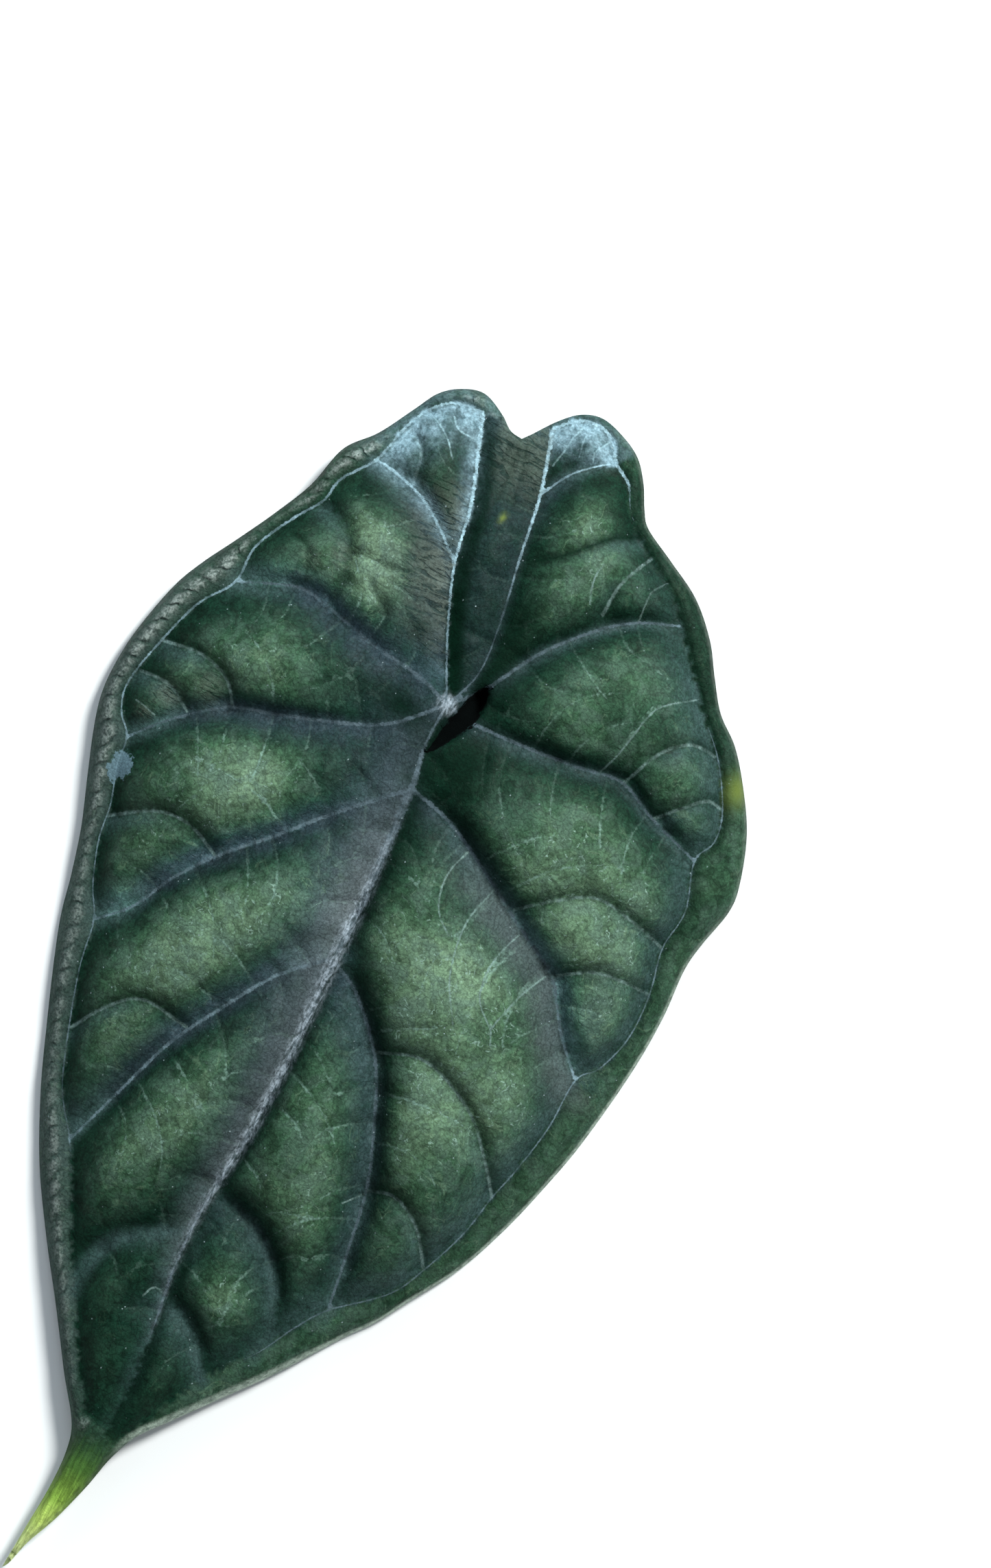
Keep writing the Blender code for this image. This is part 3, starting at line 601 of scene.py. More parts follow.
class Field:
    """What every point of the blade knows of its surroundings, in millimetres."""

    def __init__(self, points, layout, veinlets):
        def near_each(lines, reach):
            return [Nearness(points, line, reach) for line in lines]

        self.points = points
        self.x, self.y = points.T
        outline = Nearness(points, np.concatenate([layout.edge, layout.edge[:1]]))
        self.edge, self.run = outline.gap, outline.share * len(layout.edge) * MESH_STEP
        self.axis = Nearness(points, np.concatenate([[MIDDLE_END], layout.midrib])).gap
        self.midrib = Nearness(points, layout.midrib)
        self.left_half = self.midrib.way[:, 0] < 0
        self.borders = near_each(layout.borders, None)
        self.border = np.minimum(self.borders[0].gap, self.borders[1].gap)
        self.sides = dict(zip(layout.sides, near_each(layout.sides.values(), SIDE_SIGHT)))
        self.side = np.min([near.gap for near in self.sides.values()], axis=0)
        self.scales = near_each(layout.scales, SCALE_SIGHT)
        self.creases = near_each(layout.creases, SCALE_SIGHT)
        self.fine = near_each(layout.fine, FINE_SIGHT)
        self.folds = near_each(layout.folds, FINE_SIGHT)
        self.veinlet, self.veinlet_step = pleated(points, veinlets[0] + layout.fine)
        self.pleat_step = pleated(points, veinlets[1])[1]
        self.in_field = is_inside(points, layout.field)
        self.in_channel = is_inside(points, layout.channel)
        self.knob = np.hypot(*(points - layout.midrib[0]).T)

    def pillow(self):
        """How far the main veins let the lamina rise, from 0 to 1."""
        pillow = flank(self.midrib, PILLOW_REACH, MIDRIB_STEEP_WAY)
        pillow *= flank(self.borders[1], PILLOW_REACH, BORDER_STEEP_WAY)
        for near in [self.borders[0], *self.sides.values()]:
            pillow *= flank(near, PILLOW_REACH)
        return pillow

    def scaled(self):
        """How far the scales' own creases let the lamina rise, from 0 to 1."""
        scale = np.ones(len(self.points))
        for near in self.scales + self.creases:
            scale *= flank(near, SCALE_REACH)
        return scale

    def slit(self):
        """Distance from the slit's middle as a share of half its width there."""
        near = Nearness(self.points, smooth_line(SLIT, 1.0))
        return near.gap / (SLIT_WIDTH * np.sin(np.pi * near.share**SLIT_SKEW) + 1e-3)


def blade_height(field):
    """Height of the blade's upper face: the arched whole, its pillows, and its rolled edge."""
    across = field.axis / (field.axis + field.edge + TINY)
    middle, edge = height_along(field.y, MIDDLE_HEIGHTS), height_along(field.y, EDGE_HEIGHTS)
    arch = middle + (edge - middle) * across**ARCH_POWER

    pillow = field.pillow()
    raised = PILLOW_HEIGHT * pillow - SCALE_HEIGHT * (1 - field.scaled()) * pillow**SCALE_FADE

    to_vein = np.minimum(field.border, field.midrib.gap)
    band = field.edge + to_vein + TINY
    share = field.edge / band
    crest = share**MARGIN_SKEW
    margin = MARGIN_SWELL * 4 * crest * (1 - crest) - MARGIN_ROLL * (1 - share)**2
    margin *= np.minimum(1, band / MARGIN_WIDTH)
    slit = SLIT_DEPTH * ramp(*SLIT_SLOPE, field.slit())
    return arch + np.where(field.in_field, raised, margin) - slit


def fine_relief(field):
    """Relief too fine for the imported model: cords along the veins, pleats and puckers."""
    relief = 0
    for gap, (height, width) in ((field.midrib.gap, MIDRIB_RISE), (field.side, SIDE_RISE)):
        relief += height * bell(gap, width)
    relief -= VEINLET_DEPTH * field.veinlet_step * field.in_field
    relief -= PLEAT_DEPTH * field.pleat_step * field.in_field
    for near in field.folds:
        relief -= FOLD_DEPTH * np.exp(-near.gap / FOLD_WIDTH) * ramp(1.0, 0.75, near.share)
    return relief + sum(height * clouds(field.points, size, seed)
                        for seed, (height, size) in enumerate(PUCKERS, 1))


def rib_depth(field):
    """How much thicker the blade is here than its lamina, for the ribs and the knob below."""
    fade = np.clip((field.y - TIP[1]) / -TIP[1], LEAST_MIDRIB, 1)
    depth = MIDRIB_DEPTH * bell(field.midrib.gap, RIB_WIDTH) * fade
    for near in field.sides.values():
        taper = 1 - SIDE_RIB_LOSS * near.share
        depth = np.maximum(depth, SIDE_RIB_DEPTH * bell(near.gap, RIB_WIDTH) * taper)
    depth = np.maximum(depth, BORDER_RIB_DEPTH * bell(field.border, RIB_WIDTH))
    return np.maximum(depth, KNOB_DEPTH * bell(field.knob, KNOB_RADIUS))


def slate_and_sheen(field):
    """How far the dull slate beside the veins covers the green, from 0 to 1. It is the leaf's own
    slate, and where it reaches further on the lit side of the veins it is painted sheen.
    """
    y = field.y
    width = np.where(field.left_half, 2 + 10 * ramp(-135, -30, y), 0.9)
    cover = bell(field.midrib.gap, width) * ramp(-165, -110, y)
    lean = np.where(field.x < 3, 4.4, 0.9 + 5.5 * ramp(-10, -45, y))
    for name, near in field.sides.items():
        side = near.side()
        steep = blend(STEEP_SLATE.get(name, USUAL_STEEP_SLATE), near.share)
        width = np.where(side < 0, (1 - 0.55 * near.share) * (1.7 - lean * side), steep)
        most = LOOP_SLATE if name in LOOPS else 1
        cover = np.maximum(cover, most * bell(near.gap, width))
    inner = 0.75 * bell(field.borders[1].gap, 5.0) * ramp(48, 20, y) * ramp(-140, -110, y)
    cover = np.maximum(cover, inner * field.in_field)
    # Slate on the lit side of the scale veins and creases: painted sheen
    for near in field.scales + field.creases:
        lit = ramp(0.1, -0.5, near.side()) * bell(near.gap - 1.0, 2.2)
        cover = np.maximum(cover, 0.6 * lit * field.in_field * ramp(18, 6, field.border))
    # Slate on the lit flank left of the left rear vein: partly painted sheen
    vein = field.sides["left_rear_3"]
    brown = bell(vein.gap, 11) * ramp(34, 20, y) * ramp(0, 8, y) * (vein.way[:, 0] < 0)
    cover = np.maximum.reduce([cover, 0.8 * brown, 0.6 * spot(field, *SLATE_SPOT)])
    return np.where(field.in_channel, np.maximum(0.6 * cover, 0.45), cover)


def shade(field):
    """Painted shade: how dark the steep flank beside each vein is, and the creases, folds, channel
    and hollows, from 0 to 1.
    """
    width = 1.6 + 3.2 * ramp(-60, -20, field.y)
    dark = 0.9 * bell(field.midrib.gap, width) * (field.midrib.way[:, 0] > 0)
    for name, near in field.sides.items():
        side = ramp(0.05, 0.6, near.side())
        fading = blend(SHADES[name], ramp(0.1, 0.6, near.share)) * side
        dark = np.maximum(dark, fading * bell(near.gap, 3.0 - 1.6 * near.share))
    for near in field.scales:
        side = ramp(-0.2, 0.5, near.side())
        dark = np.maximum(dark, SCALE_SHADE * side * bell(near.gap, 1.6))
    for near, most in zip(field.creases, CREASE_SHADES):
        dark = np.maximum(dark, most * bell(near.gap, 1.0))
    for near in field.folds:
        dark = np.maximum(dark, FOLD_SHADE * bell(near.gap, 0.5))
    left = field.sides["left_rear_3"].gap
    channel = np.maximum(np.exp(-(left / 3.9)**6), 0.42 * ramp(44, 16, field.y))
    dark = np.maximum(dark, field.in_channel * np.maximum(channel, 0.22))
    for x, y, across, along, most in HOLLOWS:
        open_side = ramp(0, 3, field.x) if x > 0 else 1
        dark = np.maximum(dark, most * open_side * spot(field, x, y, across, along))
    # Painted shade in the margin just outside the right border vein
    border_shade = bell(field.borders[1].gap, 1.8) * ramp(52, 44, field.y)
    outside = np.maximum(border_shade * (0.35 + 0.5 * ramp(-30, 10, field.y)),
                         0.45 * (field.x > 12) * ramp(4, 24, field.y))
    return np.where(field.in_field, dark, outside)


def lift(field):
    """Painted light: how much paler the blade is painted on the flanks that light still reaches."""
    paler = 0.6 * spot(field, *LIT_FLANK) * field.left_half
    for name, rise in STEEP_PAINTED_LIGHT.items():
        near = field.sides[name]
        side = ramp(0.0, 0.5, near.side()) * np.exp(-(near.gap / 4.6)**4)
        paler = np.maximum(paler, blend(rise, near.share) * side)
    return 1 + paler * field.in_field * ramp(0.5, 7.0, field.border)


def glow(field):
    """How green the lamina is: greatest on the crown of each pillow, dull in the channel."""
    crown = ramp(0.10, 0.80, field.pillow() * (0.72 + 0.28 * field.scaled()))
    for *place, change in TONES:
        crown *= 1 + change * spot(field, *place)
    dull = (1 - 0.35 * ramp(20, 50, field.y)) * (1 - 0.65 * bell(field.knob, 22))
    margin = 0.22 + 0.30 * ramp(0, 20, field.x) * ramp(24, 2, field.y)
    return np.where(field.in_field, crown * dull * np.where(field.in_channel, 0.35, 1), margin)


def bloom_and_sky_sheen(field):
    """The sky-blue bloom on the crowns of the rear lobes: partly the leaf's own, partly a painted
    reflection of the sky.
    """
    y = field.y
    left = bell(field.borders[0].gap, 5.5) * ramp(31, 42, y)
    loop = ramp(-0.3, 0.2, field.sides["right_rear_4"].side(BLOOM_AND_SHEEN_WAY))
    right = bell(field.borders[1].gap, 4.8) * ramp(47, 54, y) * loop
    streak = 0.7 * bell(field.sides["left_rear_3"].gap, 1.9) * ramp(14, 46, y)
    branch = 0.55 * bell(field.sides["left_rear_4"].gap, 1.6) * ramp(22, 32, y)
    cover = np.maximum.reduce([left, right, streak, branch])
    return cover * np.where(field.in_channel, 0.15, 1) * np.where(field.in_field, 1, 0.22)


def settle(mesh):
    """Leans and lowers the blade until its left and right sides each touch the surface."""
    places = np.empty(len(mesh.vertices) * 3, np.float32)
    mesh.vertices.foreach_get("co", places)
    places = places.reshape(-1, 3)
    for _ in range(3):
        left, right = (places[way * places[:, 0] > SIDE_START * MM] for way in (-1, 1))
        low_left, low_right = left[left[:, 2].argmin()], right[right[:, 2].argmin()]
        lean = (low_right[2] - low_left[2]) / (low_right[0] - low_left[0])
        places[:, 2] -= low_left[2] + lean * (places[:, 0] - low_left[0])
    mesh.vertices.foreach_set("co", places.ravel())
    mesh.update()


class Nodes:
    """A material's node tree, with short ways to add to it."""

    def __init__(self, name):
        self.material = bpy.data.materials.new(name)
        self.material.use_nodes = True
        self.tree = self.material.node_tree
        self.shader = self.tree.nodes["Principled BSDF"]
        self.place = self.scaled(self.add("TexCoord").outputs["Object"], 1 / MM)
        self.colour = None

    def add(self, kind, inputs=None, **settings):
        """A new shader node. Its inputs are told by number or name."""
        made = self.tree.nodes.new("ShaderNode" + kind)
        for key, value in settings.items():
            setattr(made, key, value)
        for key, value in (inputs or {}).items():
            self.feed(made.inputs[key], value)
        return made

    def feed(self, socket, value):
        """Gives a socket a value or a node's output. A string names one of the blade's attributes."""
        if isinstance(value, str):
            value = self.add("Attribute", attribute_name=value).outputs["Fac"]
        if isinstance(value, bpy.types.NodeSocket):
            self.tree.links.new(value, socket)
        elif socket.type == "RGBA":
            socket.default_value = (*value[:3], 1)
        else:
            socket.default_value = value

    def finish(self, roughness, normal, specular=0.5):
        inputs = {"Base Color": self.colour, "Roughness": roughness, "Normal": normal,
                  "Specular IOR Level": specular}
        for name, value in inputs.items():
            self.feed(self.shader.inputs[name], value)
        return self.material

    def scaled(self, vector, scale):
        scale = scale if isinstance(scale, tuple) else (scale,) * 3
        return self.add("VectorMath", {0: vector, 1: scale}, operation="MULTIPLY").outputs[0]

    def math(self, operation, first, second=0.0):
        return self.add("Math", {0: first, 1: second}, operation=operation).outputs[0]

    def times(self, *values):
        product = values[0]
        for value in values[1:]:
            product = self.math("MULTIPLY", product, value)
        return product

    def span(self, value, low, high, out_low=0.0, out_high=1.0):
        inputs = dict(enumerate((value, low, high, out_low, out_high)))
        return self.add("MapRange", inputs, interpolation_type="SMOOTHSTEP").outputs[0]

    def noise(self, size, detail=2.0, stretch=(1, 1, 1), bend=0.0):
        inputs = {"Vector": self.scaled(self.place, stretch), "Scale": 1 / size,
                  "Detail": detail, "Distortion": bend}
        return self.add("TexNoise", inputs).outputs["Fac"]

    def swing(self, amount, size, detail=2.0, bend=0.0):
        """Noise that goes this much to either side of zero at most."""
        centred = self.math("SUBTRACT", self.noise(size, detail, bend=bend), 0.5)
        return self.times(centred, 2 * amount)

    def ridges(self, size, detail=2.0, bend=0.0):
        """Near zero along thin winding lines this far apart."""
        return self.math("ABSOLUTE", self.math("SUBTRACT", self.noise(size, detail, bend=bend), 0.5))

    def beads(self, length, lean):
        """Plump swellings in a row along the blade's edge, zero at the leaning joints between."""
        along = self.math("ADD", "run", self.times("edge", lean))
        shift = self.times(self.noise(7.0, 3), 2.0 * length)
        phase = self.times(self.math("ADD", along, shift), math.pi / length)
        return self.math("ABSOLUTE", self.math("SINE", phase))

    def cells(self, size, feature="DISTANCE_TO_EDGE", bend=0.0):
        swirl = self.add("TexNoise", {"Vector": self.place, "Scale": 0.6 / size})
        inputs = {0: swirl.outputs["Color"], 1: (bend,) * 3, 2: self.place}
        place = self.add("VectorMath", inputs, operation="MULTIPLY_ADD").outputs[0]
        made = self.add("TexVoronoi", {"Vector": place, "Scale": 1 / size}, feature=feature)
        return made.outputs["Distance"]

    def shades(self, value, stops):
        made = self.add("ValToRGB", {0: value})
        points = made.color_ramp.elements
        while len(points) < len(stops):
            points.new(0.5)
        for point, (place, colour) in zip(points, stops):
            point.position = place
            point.color = (*colour, 1)
        return made.outputs[0]

    def mix(self, share, first, second):
        return self.add("Mix", {0: share, 6: first, 7: second}, data_type="RGBA").outputs[2]

    def lay(self, colour, *shares):
        """Lays a colour over the one so far, by the product of these shares."""
        self.colour = self.mix(self.times(*shares), self.colour, colour)

    def lit(self, colour, factor):
        return self.add("VectorMath", {0: colour, "Scale": factor}, operation="SCALE").outputs[0]

    def bump(self, height, distance, strength=1.0, normal=None):
        inputs = {"Height": height, "Distance": distance * MM, "Strength": strength}
        if normal is not None:
            inputs["Normal"] = normal
        return self.add("Bump", inputs).outputs["Normal"]


def upper_material():
    """The dark quilted face: slate beside the veins, green on the crown of each pillow."""
    n = Nodes("blade_upper")

    # Green lamina, with slate beside the veins and painted sheen on their lit flanks
    drift = n.swing(0.275, 8.0, 3, bend=0.6)
    green = n.shades(n.times(n.math("ADD", "glow", drift), 0.77), [
        (0.00, (0.004, 0.021, 0.012)), (0.27, (0.014, 0.042, 0.024)),
        (0.52, (0.033, 0.078, 0.042)), (0.77, (0.092, 0.160, 0.096)), (1.00, (0.16, 0.25, 0.16))])
    cloudy = n.span(n.noise(2.4, 5, bend=1.2), 0.3, 0.7, 0.66, 1.38)
    green = n.lit(green, cloudy)
    slated = n.shades(n.noise(1.1, 5), [(0.30, (0.020, 0.036, 0.045)),
                                        (0.55, (0.032, 0.052, 0.065)),
                                        (0.80, (0.058, 0.084, 0.098))])
    teal = n.shades(n.noise(1.1, 5), [(0.30, (0.028, 0.058, 0.053)),
                                      (0.80, (0.070, 0.125, 0.125))])
    slated = n.mix("teal", slated, teal)
    patchy = n.span(n.noise(4.0, 4), 0.25, 0.65, 0.50, 0.98)
    n.colour = green
    n.lay(slated, "slate_and_sheen", patchy)
    even = n.math("MAXIMUM", patchy, 0.82)
    # Painted sheen: the paler slate on the lit flanks
    n.lay((0.112, 0.132, 0.134), "flank", even, 0.55)
    n.lay((0.050, 0.090, 0.088), "band", patchy, 0.5)
    n.lay((0.040, 0.064, 0.058), "margin", patchy, 0.85)

    # Pale marks on the green: haze, streaks, ticks, veinlets and scale veins. Net, painted light and
    # painted shade.
    haze = n.times(n.span(n.noise(5.0, 4, bend=1.0), 0.42, 0.66), "glow", 0.55)
    n.lay((0.095, 0.160, 0.125), haze)
    streaks = n.span(n.ridges(9.0, 3.0, 1.2), 0.0, 0.022, 1.0, 0.0)
    streaks = n.times(streaks, n.span(n.noise(3.2, 2), 0.42, 0.62, 0.0, 0.5), "glow")
    n.lay((0.15, 0.24, 0.15), streaks)
    ticks = n.times(n.span(n.ridges(2.6, 2.0, 0.8), 0.0, 0.035, 1.0, 0.0),
                    n.span(n.noise(1.3, 2), 0.54, 0.64, 0.0, 0.8))
    ticks = n.times(ticks, n.span("glow", 0.52, 0.85))
    n.lay((0.22, 0.34, 0.28), ticks)
    blur = n.swing(0.65, 0.8, 4)
    veinlet = n.math("ADD", "veinlet", blur)
    veinlet = n.times(n.span(veinlet, 0.05, 0.40, 1.0, 0.0),
                      n.span(n.noise(3.4, 3), 0.36, 0.62, 0.08, 0.85),
                      n.math("ADD", n.times("glow", 0.9), 0.12))
    n.lay((0.17, 0.28, 0.23), veinlet)
    shown = n.span(n.noise(2.2, 4), 0.32, 0.62, 0.20, 0.90)
    shown = n.math("MAXIMUM", shown, "bloom_and_sky_sheen")
    scale = n.math("ADD", "scale", blur)
    lined = n.mix("pale_cord", (0.150, 0.225, 0.205), (0.34, 0.52, 0.56))
    n.lay(lined, n.span(scale, 0.3, 1.4, 1.0, 0.0), shown, 0.80)
    net = n.span(n.cells(1.3, bend=1.3), 0.0, 0.11, 0.74, 1.0)
    # Painted light: the steep flanks made paler by lift
    n.colour = n.lit(n.colour, n.times(net, "lift"))
    # Painted shade over the steep flanks, creases, folds, the channel and hollows
    n.lay((0.0010, 0.0100, 0.0050), "shade")

    # Cords along the veins, and the fibrous ridge
    torn = n.swing(1.3, 0.55, 5)
    crossed = n.math("ADD", "cord", torn)
    beside = n.times(n.span(crossed, 1.1, 1.5), n.span(crossed, 1.8, 3.2, 1.0, 0.0))
    n.lay((0.008, 0.018, 0.017), beside, "pale_cord", 0.45)
    corded = n.span(crossed, 0.5, 1.2, 1.0, 0.0)
    pale = n.mix("pale_cord", (0.062, 0.086, 0.102), (0.48, 0.72, 0.82))
    shown = n.math("MAXIMUM", shown, n.times("pale_cord", n.span(torn, -0.8, 0.4, 1.0, 0.55)))
    n.lay(pale, corded, shown, 0.88)
    fibres = n.noise(0.8, 5, (1.6, 0.5, 1.0), bend=0.5)
    n.lay(n.shades(fibres, [(0.35, (0.110, 0.135, 0.150)), (0.65, (0.32, 0.38, 0.43))]),
          "ridge", n.span(fibres, 0.32, 0.60, 0.25, 1.0))

    # Creases, partly painted light; painted highlights on the left margin's beads and the right one's
    # rim; bloom, partly painted sky sheen; patch, grain and specks
    creased = n.span(n.noise(1.7, 4, (0.45, 1.7, 1.0), bend=1.0), 0.36, 0.55)
    dull = n.mix(creased, (0.020, 0.030, 0.022), (0.118, 0.142, 0.112))
    unshaded = n.math("SUBTRACT", 1.0, "shade")
    # The crinkle's pale colour is partly painted light
    n.lay(dull, "crinkle", unshaded, 0.62)
    plump = n.beads(BEAD_LENGTH, BEAD_LEAN)
    broken = n.times(n.span(plump, 0.0, 0.8, 0.15, 1.0),
                     n.span(n.noise(0.9, 5), 0.36, 0.60, 0.25, 1.0))
    # Painted highlight along the left margin's crest, broken at the beads' joints
    n.lay((0.260, 0.305, 0.280), "crest", broken)
    # Painted highlight on the right margin's outer roll
    rim_highlight = n.times(n.span("rim_edge", 0.25, 0.75, 1.0, 0.0), "rim_highlight",
                  n.span(n.noise(1.4, 4), 0.30, 0.60, 0.4, 1.0))
    n.lay((0.36, 0.44, 0.36), rim_highlight)
    # Bloom on the rear lobes, partly painted sky sheen
    n.lay(n.shades(n.noise(1.0, 5), [(0.3, (0.110, 0.190, 0.225)), (0.7, (0.330, 0.500, 0.580))]),
          "bloom_and_sky_sheen", n.span(n.noise(2.8, 5), 0.32, 0.58, 0.40, 1.0))
    torn_patch = n.math("ADD", "patch", n.swing(0.8, 1.5, 5))
    n.lay((0.125, 0.205, 0.245), n.span(torn_patch, 0.92, 1.0, 0.75, 0.0))
    grain = n.span(n.noise(0.45, 4), 0.30, 0.70, 0.76, 1.26)
    n.colour = n.lit(n.colour, grain)
    specks = n.times(n.span(n.cells(1.5, "F1", bend=1.0), 0.06, 0.13, 1.0, 0.0),
                     n.span(n.noise(3.0, 2), 0.55, 0.68, 0.0, 0.7))
    n.lay((0.30, 0.38, 0.40), specks)

    # Yellow-green tip, wilted spots and the painted shadow in the slit
    tip = n.shades("tip", [(0.0, (0.018, 0.052, 0.014)), (0.30, (0.050, 0.115, 0.024)),
                           (0.58, (0.19, 0.32, 0.050)), (0.78, (0.48, 0.64, 0.15)),
                           (1.0, (0.74, 0.86, 0.38))])
    strands = n.span(n.noise(1.0, 4, (2.2, 0.22, 1.0), bend=0.3), 0.30, 0.70, 0.62, 1.35)
    tip = n.lit(tip, n.times(strands, n.span("edge", 0.2, 2.0, 0.70, 1.10)))
    n.lay(tip, n.span("tip", 0.0, 0.30))
    n.lay((0.105, 0.145, 0.030), "wilt")
    ragged = n.math("ADD", "slit", n.swing(0.55, 1.3, 4))
    slit_shadow = n.span(ragged, 0.90, 1.02, 1.0, 0.0)
    # Painted shadow: the slit drawn near black
    n.lay((0.001, 0.002, 0.002), slit_shadow)

    # Gloss and bumps
    rough = n.math("MAXIMUM", n.span(n.noise(1.6, 3), 0.3, 0.7, 0.44, 0.62), "shade")
    rough = n.math("MAXIMUM", rough, slit_shadow)
    fine = n.bump(n.noise(0.30, 4), 0.07, 0.9)
    fine = n.bump(net, 0.07, 1.0, fine)
    pucker = n.bump(n.noise(1.6, 4, bend=0.8), 0.18, 0.9, fine)
    crinkled = n.bump(n.times(creased, "crinkle"), 0.18, 1.0, pucker)
    crinkled = n.bump(n.times(n.span(plump, 0.0, 0.5), "crest"), 0.40, 1.0, crinkled)
    return n.finish(rough, crinkled, 0.05)


def under_material():
    """The pale underside, with brownish ribs."""
    n = Nodes("blade_under")
    mottle = n.noise(4.0, 4)
    n.colour = n.shades(mottle, [(0.3, (0.17, 0.23, 0.12)), (0.7, (0.25, 0.32, 0.19))])
    net = n.span(n.cells(2.6, bend=1.2), 0.0, 0.16, 0.35, 0.0)
    n.lay((0.13, 0.17, 0.09), net)
    veinlet = n.span("veinlet", 0.1, 0.6, 0.5, 0.0)
    n.lay((0.12, 0.12, 0.07), veinlet)
    corded = n.span("cord", 1.0, 2.4, 0.85, 0.0)
    n.lay((0.13, 0.07, 0.06), corded)
    return n.finish(n.span(mottle, 0.3, 0.7, 0.5, 0.62), n.bump(n.noise(0.5, 3), 0.08, 0.7))


def stalk_material():
    """A yellow-green stalk, mottled brown in bands."""
    n = Nodes("petiole_skin")
    bands = n.noise(3.5, 4, (2.2, 1.0, 2.2))
    n.colour = n.shades(bands, [(0.35, (0.28, 0.33, 0.13)), (0.55, (0.36, 0.38, 0.18)),
                                (0.68, (0.22, 0.12, 0.09))])
    return n.finish(n.span(bands, 0.3, 0.7, 0.38, 0.5),
                    n.bump(n.noise(0.6, 3, (3, 0.5, 3)), 0.08, 0.7))


def cut_material():
    """The stalk's cut end: pale pith with brown strand ends."""
    n = Nodes("petiole_cut")
    strands = n.span(n.cells(0.9, "F1"), 0.12, 0.3, 1.0, 0.0)
    n.colour = n.shades(n.noise(1.2, 3), [(0.3, (0.42, 0.40, 0.22)), (0.7, (0.58, 0.54, 0.34))])
    n.lay((0.24, 0.17, 0.09), strands, 0.7)
    return n.finish(0.7, n.bump(strands, 0.15))


def floor_material():
    n = Nodes("pale_floor")
    n.colour = n.shades(n.noise(60.0, 2), [(0.3, (0.86, 0.87, 0.88)), (0.7, (0.89, 0.90, 0.90))])
    return n.finish(0.8, n.bump(n.noise(2.0, 2), 0.02, 0.3))


def cord_distance(field):
    """Distance from the nearest vein as a share of its cord's half width."""
    y = field.y
    cord = field.midrib.gap / (MIDRIB_CORD * (0.30 + 0.70 * ramp(-70, -24, y) * ramp(-4, -24, y)))
    cord += 2 * ramp(-126, -138, y)
    for name, near in field.sides.items():
        if name not in LOOPS:
            width = blend(REAR_CORDS.get(name, USUAL_CORD), near.share**2)
            cord = np.minimum(cord, near.gap / width)
    left = field.borders[0].gap / (BORDER_CORD * (0.7 + 0.5 * ramp(-60, 30, y)))
    right = field.borders[1].gap / (BORDER_CORD * (0.70 + 0.80 * ramp(51, 54, y)))
    left += 2 * ramp(-100, -122, y)
    right += 2 * ramp(14, 24, y) * ramp(53, 42, y) + 2 * ramp(-120, -136, y)
    return np.minimum.reduce([cord, left, right])


def pale_cord(field):
    """How pale and blue a vein's cord is: most in the rear lobes, and some along the border."""
    y = field.y
    pale = 0.05 + 0.38 * bell(field.borders[0].gap, 1.5) * ramp(-115, 5, y)
    pale += 0.16 * bell(field.borders[1].gap, 1.5) * ramp(-125, -60, y)
    inside = np.where(field.x < -10, ramp(34, 47, y), ramp(50, 54, y))
    pale = np.maximum(pale, 0.85 * inside)
    for name, (start, full, most) in PALE_VEINS.items():
        beside = most * bell(field.sides[name].gap, 1.5)
        pale = np.maximum(pale, beside * ramp(start, full, y))
    return pale


def ridge(field):
    """The pale fibrous crest: over the knob, and along the midrib's left shoulder."""
    y = field.y
    gap = field.midrib.gap * np.sign(field.midrib.way[:, 0]) + 0.15
    width = 0.5 + 0.4 * ramp(-5, -40, y) + 0.3 * bell(y + 48, 12)
    width -= 0.35 * ramp(-80, -125, y)
    strength = 0.06 + 0.94 * ramp(-16, -45, y) - 0.70 * ramp(-90, -125, y)
    along = strength * bell(gap, width) * ramp(-138, -120, y)
    return np.maximum(0.9 * ramp(2.6, 1.0, field.knob), along * ramp(0, -4, y))


def crest(field):
    """The pale band along the left margin's crest: a painted highlight."""
    width = field.edge + field.border
    left = bell(field.edge / (width + TINY) - 0.47, 0.16) * (0.58 + 0.42 * ramp(-75, -20, field.y))
    return left * ~field.in_field * (field.x < 2) * ramp(2.0, 5.0, width)


def lit_flank_sheen(field):
    """Painted sheen: paler slate on the lit flanks, left of the midrib and on the right half below
    its first vein.
    """
    y = field.y
    cover = bell(field.midrib.gap, 2.0 + 5.0 * ramp(-140, -50, y))
    cover *= 0.85 + 0.5 * spot(field, *PALE_FLANK)
    cover *= field.left_half * (0.3 + 0.7 * ramp(-8, -34, y)) * ramp(2, -8, y)
    cover *= ramp(-127, -108, y)
    near = field.sides["right_1"]
    below = bell(near.gap - 2.5, 4.0) * ramp(0.2, -0.4, near.side())
    return np.maximum(cover, 0.8 * below * ramp(0.15, 0.45, near.share))


def crinkle(field):
    """Where the blade is finely creased across: beside the channel, in it, and on lit scale ends. The
    crinkle's pale colour is partly painted light.
    """
    vein, y = field.sides["left_rear_3"], field.y
    creased = bell(vein.gap, 9) * (vein.way[:, 0] < 0) * ramp(42, 30, y)
    creased *= 0.45 * ramp(4, 10, y) + 0.55 * ramp(10, 22, y)
    creased = np.maximum(creased, field.in_channel * 0.7 * ramp(36, 48, y))
    for *middle, size, most in LIT_ENDS:
        creased = np.maximum(creased, most * spot(field, *middle, size, size))
    return creased


def loop_bands(field):
    """The soft teal bands along the looped veins, from 0 to 1."""
    bands = [bell(near.gap - 0.7, 1.1) * ramp(0.7, 0.1, near.side())
             for near in map(field.sides.get, LOOPS)]
    return np.max(bands, axis=0)


def vein_distance(kinds):
    """Distance from the nearest lesser vein as a share of its cord's half width."""
    return np.min([near.gap / width for lines, width in kinds for near in lines], axis=0)


